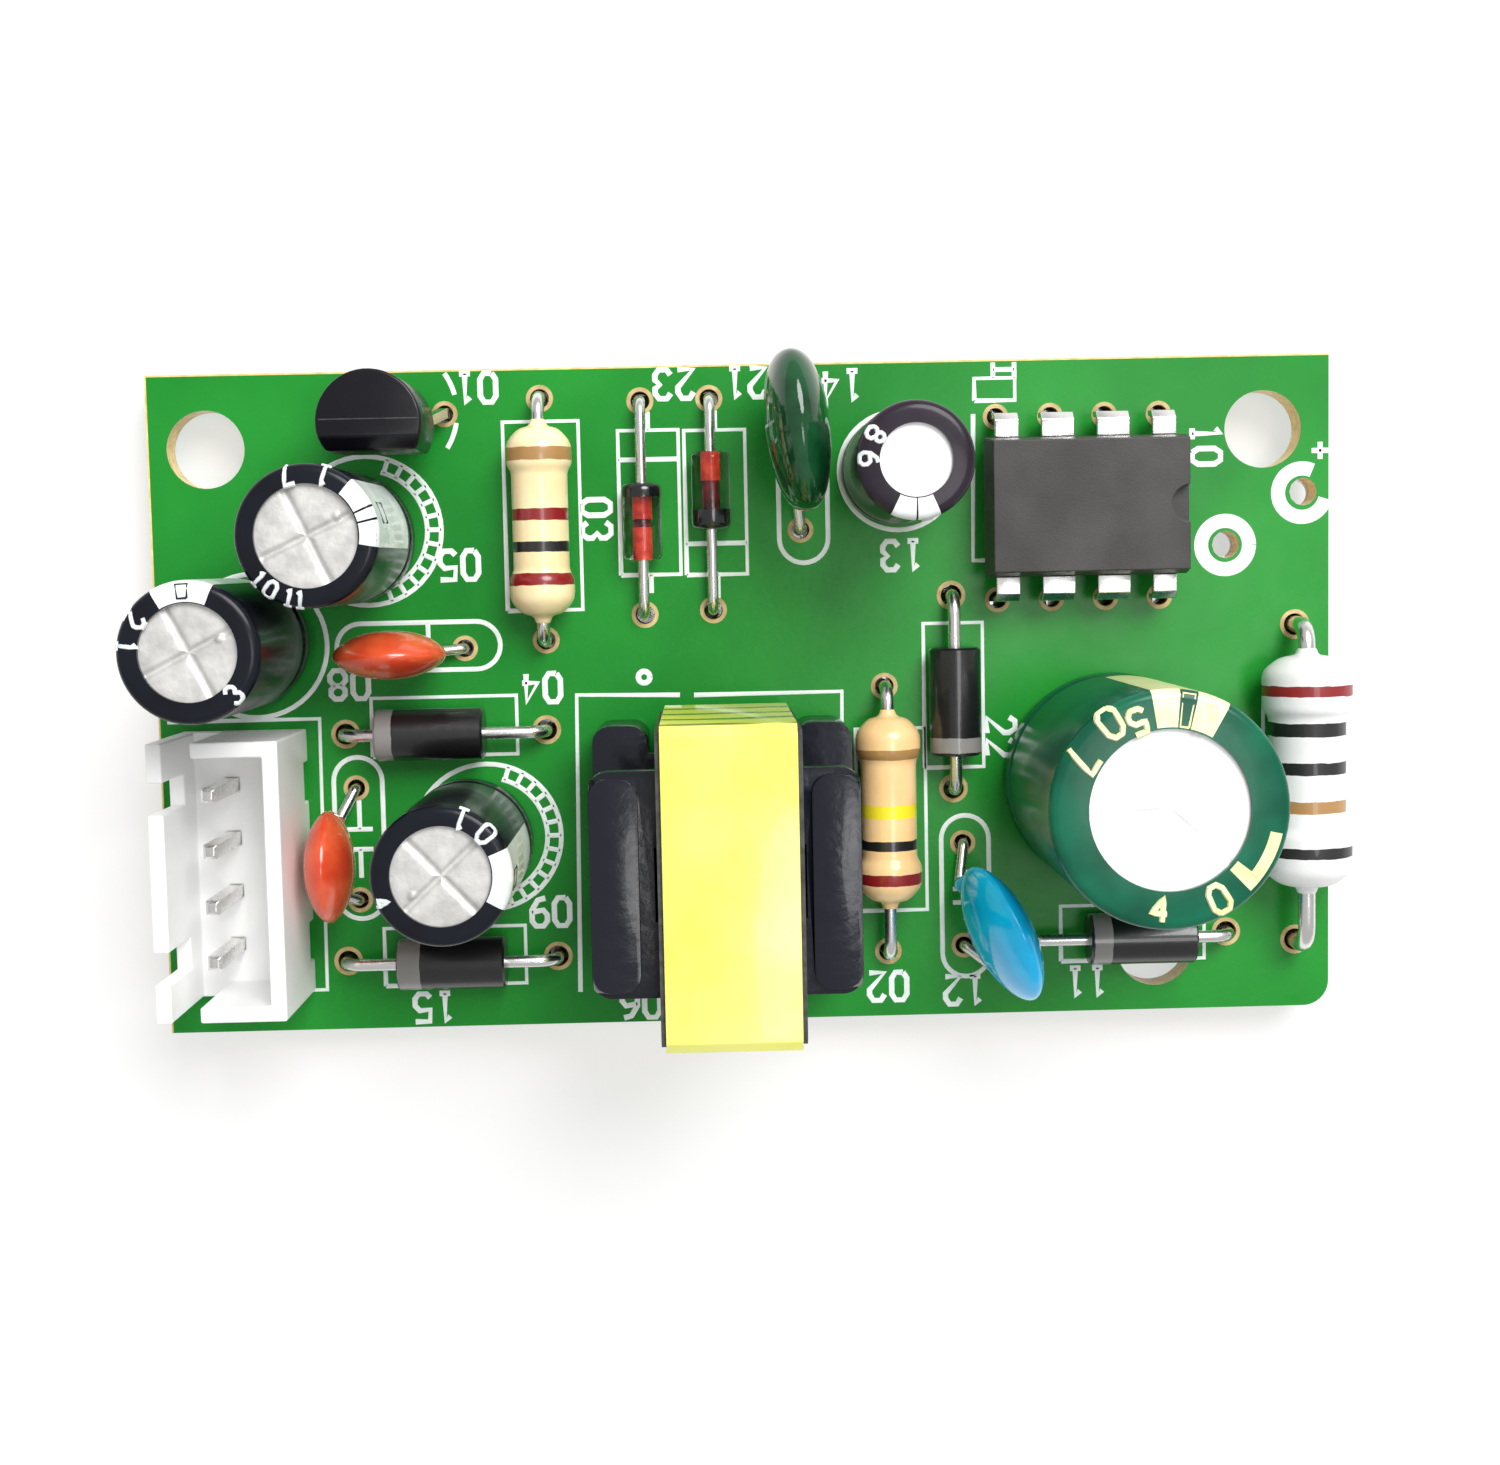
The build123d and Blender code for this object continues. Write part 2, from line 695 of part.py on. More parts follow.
resistor("start_resistor", 18.2, 23.7, (18.2, 29.4), resistor_length, resistor_diameter, resistor_wire)
resistor("bleed_resistor", 34.0, 10.05, (3.1, 15.7), resistor_length, resistor_diameter, resistor_wire)
resistor("fusible_resistor", 53.4, 11.45, (3.2, 18.2), fusible_length, fusible_diameter, fusible_wire)

diode("mains_diode", 3.65, 45.8, (40.3, 50.1), "x")
diode("clamp_diode", 37.2, 15.0, (10.8, 19.9), "y")
diode("output_diode", 14.0, 12.8, (8.7, 18.1), "x")
diode("second_output_diode", 3.25, 13.5, (8.45, 18.35), "x")
glass_diode("left_glass_diode", 22.85, 23.6, (19.3, 29.2))
glass_diode("right_glass_diode", 26.05, 25.0, (19.45, 29.25))

disc_capacitor(
    "small_disc", (8.35, 8.25), ((9.1, 6.15), (9.1, 11.45)), orange_diameter, orange_thickness, 1.0, 90
)
disc_capacitor(
    "end_disc", (11.4, 17.8), ((9.3, 17.9), (14.4, 17.9)), orange_diameter, orange_thickness, 1.0, 0
)
disc_capacitor(
    "mains_disc", (39.0, 4.65), ((37.6, 8.2), (37.6, 3.3)), blue_diameter, blue_thickness, 1.2, -64
)
film_capacitor("film_capacitor", (29.95, 27.4), ((30.2, 23.1), (30.2, 28.2)), 1.2)
transistor("transistor", (11.25, 28.05), 28.77)
controller("controller", (43.2, 23.9))
transformer("transformer", (26.3, 8.4), 0.2)


circuit_board()
solder_joints()
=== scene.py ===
# %% [markdown]
# Dressing a small mains power supply board
#
# The solids of this board come packed from the CAD step. This lesson gives every one of
# them its finish, and makes anew in Blender what a solid of few faces can't show: round
# wires, dipped capacitors, glass diodes, shrunk sleeves, solder and the white print.

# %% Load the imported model
from math import cos, degrees, pi, radians, sin, tan

import bmesh
import bpy
from mathutils import Matrix, Vector


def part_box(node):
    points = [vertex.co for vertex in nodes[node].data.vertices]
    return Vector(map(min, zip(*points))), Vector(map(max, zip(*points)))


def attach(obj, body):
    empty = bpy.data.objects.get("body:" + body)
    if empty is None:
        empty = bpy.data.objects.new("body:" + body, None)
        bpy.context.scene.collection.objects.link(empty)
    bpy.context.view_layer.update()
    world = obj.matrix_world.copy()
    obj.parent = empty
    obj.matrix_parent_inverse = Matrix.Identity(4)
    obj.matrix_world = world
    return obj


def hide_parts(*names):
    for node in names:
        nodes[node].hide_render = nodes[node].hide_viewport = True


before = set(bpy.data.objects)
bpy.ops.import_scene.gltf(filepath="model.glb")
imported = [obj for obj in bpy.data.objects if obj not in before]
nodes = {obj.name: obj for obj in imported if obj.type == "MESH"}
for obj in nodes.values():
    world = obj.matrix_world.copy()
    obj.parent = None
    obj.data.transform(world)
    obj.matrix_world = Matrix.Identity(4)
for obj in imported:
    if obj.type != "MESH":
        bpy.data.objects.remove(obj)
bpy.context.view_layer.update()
print("solids loaded:", len(nodes))

# %% [markdown]
# A board is laid out from one of its corners, in millimetres. Working in the same numbers
# keeps every later cell short, so one function turns a place on the board into Blender's
# metres. Heights are counted from the board's upper face.

# %% Places on the board
MM = 0.001
BOARD_TOP = 1.6
CORNER_X, CORNER_Y = -27.3, -27.35


def spot(x, y, z=0.0):
    """A point in metres, from millimetres right and up of the board's lower left corner."""
    return Vector((x + CORNER_X, y + CORNER_Y, z + BOARD_TOP)) * MM


print("board corner:", tuple(round(v, 4) for v in spot(0, 0)))

# %% [markdown]
# Every finish starts as one shader with a plain colour. Real surfaces are never that even,
# so three small helpers add what the eye expects: a slow change of colour, a fine relief
# and a gloss that isn't the same everywhere. All patterns read object coordinates, so they
# stay on the piece when the camera moves. Paint is laid over a body with a mask, which a
# few steps of arithmetic make out of a point's place.

# %% Helpers for finishes
def finish(name, colour, roughness=0.5, metallic=0.0, coat=0.0, shine=0.5):
    """A material with one shader, set to a colour, a roughness and a kind of gloss."""
    material = bpy.data.materials.new(name)
    material.use_nodes = True
    sockets = shader_of(material).inputs
    sockets["Base Color"].default_value = (*colour, 1)
    sockets["Roughness"].default_value = roughness
    sockets["Metallic"].default_value = metallic
    sockets["Specular IOR Level"].default_value = shine
    sockets["Coat Weight"].default_value = coat
    sockets["Coat Roughness"].default_value = 0.06
    return material


def shader_of(material):
    return material.node_tree.nodes["Principled BSDF"]


def add(material, kind, **inputs):
    """A new node, with some of its inputs set."""
    made = material.node_tree.nodes.new(kind)
    for name, value in inputs.items():
        made.inputs[name].default_value = value
    return made


def join(material, source, target):
    material.node_tree.links.new(source, target)


def place_of(material):
    """The coordinates of a point on its own object, in metres."""
    found = material.node_tree.nodes.get("Texture Coordinate")
    return (found or add(material, "ShaderNodeTexCoord")).outputs["Object"]


def noise(material, size, detail=3.0):
    """Soft blotches about size millimetres across."""
    pattern = add(material, "ShaderNodeTexNoise", Scale=1 / (size * MM), Detail=detail)
    join(material, place_of(material), pattern.inputs["Vector"])
    return pattern.outputs["Fac"]


def ramp(material, source, stops, interpolation="LINEAR"):
    """Turns a number into a colour. stops are pairs of a position and a colour."""
    made = add(material, "ShaderNodeValToRGB")
    made.color_ramp.interpolation = interpolation
    steps = made.color_ramp.elements
    for position, colour in stops[2:]:
        steps.new(position)
    for step, (position, colour) in zip(steps, stops):
        step.position = position
        step.color = (*colour, 1)
    join(material, source, made.inputs["Fac"])
    return made.outputs["Color"]


def blotches(material, size, dark, light, edge=0.35):
    """Two tones in soft patches. A smaller edge makes the change between them slower."""
    return ramp(material, noise(material, size), [(edge, dark), (1 - edge, light)])


def mottle(material, dark, light, size):
    """Lets the colour drift between two tones."""
    tone = blotches(material, size, dark, light)
    join(material, tone, shader_of(material).inputs["Base Color"])
    return material


def relief(material, size, depth):
    """A fine unevenness of the surface, size and depth in millimetres."""
    bump = add(material, "ShaderNodeBump", Distance=depth * MM, Strength=1.0)
    join(material, noise(material, size, 4.0), bump.inputs["Height"])
    join(material, bump.outputs["Normal"], shader_of(material).inputs["Normal"])
    return material


def scuff(material, low, high, size):
    """A roughness that wanders between two values."""
    spread = add(material, "ShaderNodeMapRange")
    spread.inputs["To Min"].default_value = low
    spread.inputs["To Max"].default_value = high
    join(material, noise(material, size), spread.inputs["Value"])
    join(material, spread.outputs["Result"], shader_of(material).inputs["Roughness"])
    return material


def surface(name, colour, roughness, tones=None, grain=None, gloss=None, **more):
    """A finish, with tones handed to mottle, grain to relief and gloss to scuff."""
    material = finish(name, colour, roughness, **more)
    for helper, arguments in ((mottle, tones), (relief, grain), (scuff, gloss)):
        if arguments:
            helper(material, *arguments)
    return material


def across(material, axis):
    """How far a point lies along one axis, in metres."""
    parts = add(material, "ShaderNodeSeparateXYZ")
    join(material, place_of(material), parts.inputs["Vector"])
    return parts.outputs[axis]


def sum_of(material, operation, *terms):
    """One step of arithmetic. Each term is a number or the output of another node."""
    step = add(material, "ShaderNodeMath")
    step.operation = operation
    for socket, term in zip(step.inputs, terms):
        if isinstance(term, (int, float)):
            socket.default_value = term
        else:
            join(material, term, socket)
    return step.outputs[0]


def stretch(material, value, low, high):
    """The value as a share of the way from low to high."""
    spread = add(material, "ShaderNodeMapRange")
    spread.inputs["From Min"].default_value = low
    spread.inputs["From Max"].default_value = high
    join(material, value, spread.inputs["Value"])
    return spread.outputs["Result"]


def overlay(material, mask, under, over):
    """Colours the material under, and over where the mask is 1."""
    blend = add(material, "ShaderNodeMix")
    blend.data_type = "RGBA"
    join(material, mask, blend.inputs["Factor"])
    for socket, colour in ((blend.inputs[6], under), (blend.inputs[7], over)):
        if isinstance(colour, tuple):
            socket.default_value = (*colour, 1)
        else:
            join(material, colour, socket)
    join(material, blend.outputs[2], shader_of(material).inputs["Base Color"])
    return material


print("helpers ready")

# %% [markdown]
# A piece is finished the same way each time: doubles are merged, its faces are turned
# outwards, and it is shaded smooth but for its real edges. It then rides on the board's
# one rigid body and hides the solid that it stands for.

# %% Helpers for pieces
TOUCHING = 0.0002


def settle(bm, name, material, slot, replaces=(), crease=35, sealed=True):
    """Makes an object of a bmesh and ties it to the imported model."""
    bmesh.ops.remove_doubles(bm, verts=bm.verts, dist=TOUCHING * MM)
    if sealed:
        bmesh.ops.recalc_face_normals(bm, faces=bm.faces)
    mesh = bpy.data.meshes.new(name)
    bm.to_mesh(mesh)
    bm.free()
    mesh.materials.append(material)
    for face in mesh.polygons:
        face.use_smooth = True
    mesh.set_sharp_from_angle(angle=radians(crease))
    piece = bpy.data.objects.new(name, mesh)
    bpy.context.scene.collection.objects.link(piece)
    if replaces:
        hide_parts(*replaces)
    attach(piece, "root")
    print(name, "faces:", len(mesh.polygons))
    return piece


def dress(node, material):
    """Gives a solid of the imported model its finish."""
    mesh = nodes[node].data
    mesh.materials.clear()
    mesh.materials.append(material)


def bevelled(bm, edges, width, steps, clamped=True):
    bmesh.ops.bevel(
        bm, geom=edges, offset=width * MM, offset_type="OFFSET", segments=steps,
        profile=0.5, affect="EDGES", clamp_overlap=clamped, material=-1,
    )


def upright_edges(bm, middle, least, most):
    """Sharp upright edges whose distance from the middle, along Y, is in a range."""
    return [
        e for e in bm.edges if len(e.link_faces) == 2 and e.is_convex
        and e.calc_face_angle() > radians(60)
        and abs(e.verts[0].co.z - e.verts[1].co.z) > 0.99 * e.calc_length()
        and least < abs(e.verts[0].co.y - middle) <= most
    ]


def softened(node, material, slot, width, steps=3, corners=0.0, flat_sided=False):
    """A copy of a solid with its edges rounded, to catch the light as moulded edges do.

    corners is a larger radius for its upright outer corners, where it has them. The corners
    of low pads stand on a rounded flange, so theirs are rounded apart, with no clamp.
    """
    bm = bmesh.new()
    bm.from_mesh(nodes[node].data)
    bmesh.ops.remove_doubles(bm, verts=bm.verts, dist=0.001 * MM)
    bmesh.ops.dissolve_limit(bm, angle_limit=radians(3), verts=bm.verts, edges=bm.edges)
    if corners:
        low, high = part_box(node)
        middle, deep = (low[1] + high[1]) / 2, high[1] - low[1]
        for least, most, clamped in ((0.4, 1.0, True), (0.36, 0.4, False)):
            bevelled(bm, upright_edges(bm, middle, least * deep, most * deep), corners, 4, clamped)
    sharp = radians(28)
    if flat_sided:
        edges = [e for e in bm.edges if len(e.link_faces) == 2 and e.calc_face_angle() > sharp]
        bevelled(bm, edges, width, steps)
        return settle(bm, node + "_softened", material, slot, [node], crease=12, sealed=False)
    piece = settle(bm, node + "_softened", material, slot, [node], crease=180, sealed=False)
    bevel = piece.modifiers.new("rounded edges", "BEVEL")
    bevel.width = width * MM
    bevel.segments = steps
    bevel.angle_limit = sharp
    bevel.harden_normals = True
    return piece


def axes_at(origin, axis):
    """A frame at origin whose Z runs along axis."""
    turn = Vector(axis).to_track_quat("Z", "Y").to_matrix().to_4x4()
    return Matrix.Translation(origin) @ turn


def turned(bm, profile, origin, axis=(0, 0, 1), steps=48):
    """A lathe. profile is a row of radius and height pairs, in millimetres."""
    seat = axes_at(origin, axis)
    verts = [bm.verts.new(seat @ (Vector((r, 0, h)) * MM)) for r, h in profile]
    edges = [bm.edges.new(pair) for pair in zip(verts, verts[1:])]
    if profile[0][0] > 0:
        edges.append(bm.edges.new((verts[-1], verts[0])))
    bmesh.ops.spin(
        bm, geom=verts + edges, cent=origin, axis=Vector(axis).normalized(),
        angle=2 * pi, steps=steps, use_merge=True,
    )


def eased(profile, radius, steps=3):
    """Rounds the inner corners of a profile, by cutting each one back along a curve."""
    smooth = [profile[0]]
    for before, corner, after in zip(profile, profile[1:], profile[2:]):
        a, b, c = Vector(before), Vector(corner), Vector(after)
        cut = min(radius, 0.45 * (b - a).length, 0.45 * (c - b).length)
        start = b + (a - b).normalized() * cut
        end = b + (c - b).normalized() * cut
        for step in range(steps + 1):
            t = step / steps
            smooth.append(tuple((1 - t) ** 2 * start + 2 * t * (1 - t) * b + t ** 2 * end))
    return smooth + [profile[-1]]


print("lathe and edge helpers ready")

# %% [markdown]
# A component's wire is drawn through a bender: straight, an even bend, straight again. The
# same steps make it here. A circle is pushed along each straight run and spun round the
# middle of each bend.

# %% Helper for bent wires
def bent_wire(bm, points, diameter, bend, sides=12):
    """A round wire through the points, with its corners bent to an inner radius."""
    points = [Vector(p) for p in points]
    heading = (points[1] - points[0]).normalized()
    made = bmesh.ops.create_circle(
        bm, cap_ends=True, radius=diameter / 2 * MM, segments=sides,
        matrix=axes_at(points[0], heading),
    )
    rim = [e for e in bm.edges if all(v in made["verts"] for v in e.verts)]
    here = points[0]

    def push(rim, step):
        grown = bmesh.ops.extrude_edge_only(bm, edges=rim)["geom"]
        moved = [g for g in grown if isinstance(g, bmesh.types.BMVert)]
        bmesh.ops.translate(bm, verts=moved, vec=step)
        return [g for g in grown if isinstance(g, bmesh.types.BMEdge)
                and all(v in moved for v in g.verts)]

    for corner, after in zip(points[1:], points[2:]):
        onward = (after - corner).normalized()
        angle = heading.angle(onward)
        back = min(bend * MM * tan(angle / 2), 0.45 * (after - corner).length)
        rim = push(rim, corner - heading * back - here)
        inward = (onward - heading * cos(angle)).normalized()
        centre = corner - heading * back + inward * (back / tan(angle / 2))
        spun = bmesh.ops.spin(
            bm, geom=rim, cent=centre, axis=heading.cross(onward), angle=angle, steps=5
        )
        rim = [g for g in spun["geom_last"] if isinstance(g, bmesh.types.BMEdge)]
        here = corner + onward * back
        heading = onward
    rim = push(rim, points[-1] - here)
    bmesh.ops.contextual_create(bm, geom=rim)


print("wire helper ready")

# %% [markdown]
# The board is glass cloth in resin under a green lacquer. The lacquer lies on both faces
# and the cut edges stay bare, so the finish asks how high a point lies: only the skin at
# each face is green, and it stops just short of two of the sawn edges. The colour drifts a
# little where the lacquer pooled.

# %% The board's finish
SKIN = 0.03
BACK_RIM, LEFT_RIM = 3.37, -27.22


def board_finish():
    material = finish("green lacquer", (0.010, 0.22, 0.022), 0.3, shine=0.2)
    green = blotches(material, 9.0, (0.008, 0.205, 0.020), (0.018, 0.295, 0.032), 0.3)
    straw = blotches(material, 0.5, (0.74, 0.50, 0.13), (0.95, 0.78, 0.34), 0.3)
    half = BOARD_TOP / 2
    above = sum_of(material, "SUBTRACT", across(material, "Z"), half * MM)
    from_middle = sum_of(material, "ABSOLUTE", above)
    covered = sum_of(material, "GREATER_THAN", from_middle, (half - SKIN) * MM)
    for axis, test, rim in (("Y", "LESS_THAN", BACK_RIM), ("X", "GREATER_THAN", LEFT_RIM)):
        short = sum_of(material, test, across(material, axis), rim * MM)
        covered = sum_of(material, "MULTIPLY", covered, short)
    return overlay(material, covered, straw, green)


lacquer = board_finish()
relief(lacquer, 0.35, 0.006)
scuff(lacquer, 0.2, 0.34, 1.5)
dress("circuit_board", lacquer)
print("board finish:", lacquer.name)

# %% [markdown]
# Each wire comes up through a drilled hole, where the lacquer is kept back and a pale ring
# of bare laminate shows. A ring and the wall of its hole are one small turned piece. It
# also rounds off the solid's six-sided holes.

# %% Where the wires go through the board
wires = {
    "header": (0.46, [(3.525, 4.35), (3.525, 6.85), (3.525, 9.35), (3.525, 11.85)]),
    "medium cans": (0.45, [
        (8.05, 23.1), (10.55, 23.1), (4.35, 17.15), (4.35, 19.65), (13.15, 8.85), (15.65, 8.85)]),
    "small can": (0.42, [(34.6, 24.75), (34.6, 26.75)]),
    "bulk can": (0.5, [(44.55, 8.65), (44.55, 13.65)]),
    "resistors": (0.45, [(18.2, 18.2), (18.2, 29.4), (34.0, 3.1), (34.0, 15.7)]),
    "fusible": (0.52, [(53.4, 3.2), (53.4, 18.2)]),
    "diodes": (0.5, [
        (40.3, 3.65), (50.1, 3.65), (37.2, 10.8), (37.2, 19.9),
        (8.7, 14.0), (18.1, 14.0), (8.45, 3.25), (18.35, 3.25)]),
    "glass diodes": (0.45, [(22.85, 19.3), (22.85, 29.2), (26.05, 19.45), (26.05, 29.25)]),
    "discs": (0.42, [
        (9.1, 6.15), (9.1, 11.45), (9.3, 17.9), (14.4, 17.9),
        (37.6, 8.2), (37.6, 3.3), (30.2, 23.1), (30.2, 28.2)]),
    "transistor": (0.42, [(8.71, 28.77), (11.25, 28.77), (13.79, 28.77)]),
    "controller": (0.42, [
        (43.2 + 2.54 * (k - 1.5), 23.9 + side * 4.25) for k in range(4) for side in (-1, 1)]),
    "transformer": (0.45, [
        (26.3 + side * 4.9, 8.4 + 2.5 * (k - 2)) for k in range(5) for side in (-1, 1)]),
}


def laminate_finish():
    """Pale laminate at the surface, and painted shade down the wall of the hole, darker the deeper
    it goes.
    """
    material = finish("bare laminate", (0.6, 0.5, 0.26), 0.55)
    height = across(material, "Z")
    depth = stretch(material, height, (BOARD_TOP - 0.5) * MM, BOARD_TOP * MM)
    # Painted shade: the hole's wall goes from dark brown near the face to almost black half a
    # millimetre down.
    painted_hole_shade = ramp(material, depth, [(0.2, (0.05, 0.022, 0.01)), (0.97, (0.24, 0.13, 0.04))])
    pale = blotches(material, 0.6, (0.42, 0.29, 0.11), (0.68, 0.52, 0.25), 0.3)
    at_face = sum_of(material, "GREATER_THAN", height, (BOARD_TOP - 0.01) * MM)
    return relief(overlay(material, at_face, painted_hole_shade, pale), 0.12, 0.01)


laminate = laminate_finish()


def drilled_rings():
    """A ring and a wall for each hole. The wall stops just short of the lower face."""
    bm = bmesh.new()
    proud, foot = 0.014, 0.1 - BOARD_TOP
    for radius, places in wires.values():
        outer = radius + 0.2
        section = [
            (outer, -0.03), (outer - 0.02, proud), (radius, proud), (radius - 0.02, -0.02),
            (radius - 0.02, foot), (radius + 0.15, foot), (radius + 0.15, -0.03),
        ]
        for x, y in places:
            turned(bm, section, spot(x, y), steps=20)
    return settle(bm, "drilled_rings", laminate, "board")


drilled_rings()

# %% [markdown]
# Underneath, every wire is soldered. Molten solder climbs the wire and spreads over its
# pad, which leaves a hollow cone. One profile, turned at every wire, stands for the
# solid's four-sided cones. A flat copper pad shows round each.

# %% Solder and pads
solder = surface("solder", (0.66, 0.67, 0.69), 0.25, metallic=1.0,
                 grain=(0.4, 0.02), gloss=(0.16, 0.4, 0.5))
tin = surface("tinned wire", (0.80, 0.79, 0.77), 0.25, metallic=1.0,
              grain=(0.5, 0.006), gloss=(0.16, 0.36, 0.6))


def solder_cones():
    bm = bmesh.new()
    for radius, places in wires.values():
        section = [
            (0, -1.6), (radius + 0.6, -1.6), (radius + 0.6, -1.65), (radius + 0.5, -1.72),
            (radius + 0.22, -1.86), (radius, -2.1), (radius - 0.1, -2.35), (radius - 0.16, -2.5),
            (0, -2.62),
        ]
        for x, y in places:
            turned(bm, section, spot(x, y), steps=16)
    return settle(bm, "solder_cones", solder, "solder", ["solder_joints"], crease=60)


solder_cones()

# %% [markdown]
# The white print is thick ink pulled through a screen. It stands a little proud and its
# edges are rounded. A curve of round section gives the same line at any turn, and pressed
# flat it becomes ink.

# %% Helper for the white print
def arc(x, y, radius, start=0.0, end=360.0, steps=48):
    """Points on a circle, from one angle to another in degrees."""
    turns = [radians(start + (end - start) * k / steps) for k in range(steps + 1)]
    return [(x + radius * cos(t), y + radius * sin(t)) for t in turns]


def frame_of(x0, y0, x1, y1):
    return [(x0, y0), (x1, y0), (x1, y1), (x0, y1), (x0, y0)]


def oblong(x0, y0, x1, y1, along):
    """A slot outline with round ends, along x or y."""
    if along == "x":
        r, y = (y1 - y0) / 2, (y0 + y1) / 2
        outline = arc(x0 + r, y, r, 90, 270, 16) + arc(x1 - r, y, r, -90, 90, 16)
    else:
        r, x = (x1 - x0) / 2, (x0 + x1) / 2
        outline = arc(x, y0 + r, r, 180, 360, 16) + arc(x, y1 - r, r, 0, 180, 16)
    return outline + outline[:1]


def stroked(lines, width):
    """Round strokes of one width along lines of points in metres, as a bmesh."""
    curve = bpy.data.curves.new("strokes", "CURVE")
    curve.dimensions = "3D"
    curve.bevel_depth = width / 2 * MM
    curve.bevel_resolution = 1
    curve.use_fill_caps = True
    curve.twist_mode = "Z_UP"
    for line in lines:
        spline = curve.splines.new("POLY")
        spline.points.add(len(line) - 1)
        for point, place in zip(spline.points, line):
            point.co = (*place, 1)
    maker = bpy.data.objects.new("strokes", curve)
    bpy.context.scene.collection.objects.link(maker)
    bpy.context.view_layer.update()
    bm = bmesh.new()
    bm.from_mesh(maker.evaluated_get(bpy.context.evaluated_depsgraph_get()).to_mesh())
    bpy.data.objects.remove(maker)
    return bm


def ink_lines(name, lines, width, material, slot, height=0.0, thickness=0.03):
    """Prints lines of one width, lying flat at a height above the board."""
    bm = stroked([[Vector((x, y, 0)) * MM for x, y in line] for line in lines], width)
    bmesh.ops.scale(bm, vec=(1, 1, thickness / width), verts=bm.verts)
    bmesh.ops.translate(bm, vec=spot(0, 0, height), verts=bm.verts)
    return settle(bm, name, material, slot)


ink = surface("white ink", (0.90, 0.95, 0.92), 0.5,
              tones=((0.78, 0.88, 0.83), (0.95, 0.98, 0.96), 1.2), grain=(0.15, 0.01))
print("ink:", ink.name)

# %% [markdown]
# Outlines show where each part sits. The glass diodes' boxes carry a bar at one end, the
# can capacitors a ring with a hatched half, and the two input holes a broad ring.

# %% The outlines on the board
LINE = 0.22
CAN_RING, INNER_RING = 3.45, 2.8


def capacitor_sign(x, *ends):
    """Two plates, and a stroke from each plate to its wire. ends are heights along Y."""
    top, upper, lower, bottom = ends
    return [
        [(x, top), (x, upper)], [(x - 0.6, upper), (x + 0.6, upper)],
        [(x - 0.6, lower), (x + 0.6, lower)], [(x, lower), (x, bottom)],
    ]


outlines = [
    frame_of(16.45, 19.6, 19.95, 28.35),
    frame_of(21.78, 21.15, 24.58, 27.85), [(21.78, 26.5), (24.58, 26.5)],
    [(23.18, 27.85), (23.18, 28.7)], [(23.18, 21.15), (23.18, 20.3)],
    frame_of(24.85, 21.1, 27.68, 27.8), [(24.85, 22.55), (27.68, 22.55)],
    [(26.3, 27.8), (26.3, 28.7)], [(26.3, 21.1), (26.3, 20.0)],
    [(29.2, 29.1), (29.2, 22.7)] + arc(30.34, 22.7, 1.14, 180, 360, 16) + [(31.48, 29.1)],
    frame_of(35.87, 11.8, 38.65, 18.6),
    frame_of(42.22, 2.4, 49.06, 5.05),
    frame_of(9.93, 12.9, 16.72, 15.65),
    frame_of(10.17, 2.0, 16.82, 4.75),
    frame_of(32.6, 5.05, 35.88, 13.7),
    oblong(36.58, 1.8, 38.83, 9.5, "y"),
    *capacitor_sign(37.7, 6.9, 6.0, 5.35, 4.5),
    oblong(8.42, 16.92, 16.05, 19.15, "x"), [(12.7, 19.1), (12.7, 18.1)],
    oblong(8.05, 5.25, 10.32, 12.9, "y"),
    *capacitor_sign(9.2, 10.9, 9.5, 8.55, 7.2),
    [(24.39, 15.5), (19.55, 15.6), (19.35, 1.5)], [(25.05, 15.48), (32.0, 15.5), (31.85, 6.0)],
    [(38.34, 28.3), (38.26, 21.5), (39.0, 21.5)],
    frame_of(38.41, 28.91, 40.3, 29.94), [(39.29, 30.66), (39.29, 29.94)],
    [(40.28, 30.66), (40.28, 29.94)], [(39.29, 30.33), (40.28, 30.33)],
    arc(10.02, 23.45, CAN_RING), arc(4.63, 18.22, 3.35), arc(15.2, 9.0, CAN_RING),
    arc(34.8, 25.75, 2.75),
    arc(11.25, 28.9, 3.12, -33, -10, 8), arc(11.25, 28.9, 3.12, 14, 34, 8),
    [(0.4, 14.75), (7.5, 14.75), (7.4, 1.9), (0.4, 1.9)],
    [(51.9, 8.0), (51.9, 15.5), (54.9, 15.5)],
]
for x, y in ((10.02, 23.45), (15.2, 9.0)):
    outlines.append(arc(x, y, INNER_RING, -75, 75, 24))
    for turn in range(-72, 80, 12):
        way = cos(radians(turn)), sin(radians(turn))
        outlines.append([(x + r * way[0], y + r * way[1]) for r in (INNER_RING, CAN_RING)])
ink_lines("ink_outlines", outlines, LINE, ink, "board")
broad_rings = [arc(50.12, 21.98, 1.13), arc(53.75, 24.35, 1.13, 65, 345)]
ink_lines("ink_broad_rings", broad_rings, 0.66, ink, "board")
ink_lines("ink_dot_ring", [arc(22.73, 16.37, 0.27, steps=20)], 0.26, ink, "board")
plus_sign = [[(54.6, 25.9), (54.6, 26.7)], [(54.2, 26.3), (55.0, 26.3)]]
ink_lines("ink_plus", plus_sign, 0.24, ink, "board")

# %% [markdown]
# Beside each outline the board prints which part goes there. Plain numbers stand in those
# places here, drawn with single strokes as a plotter would.

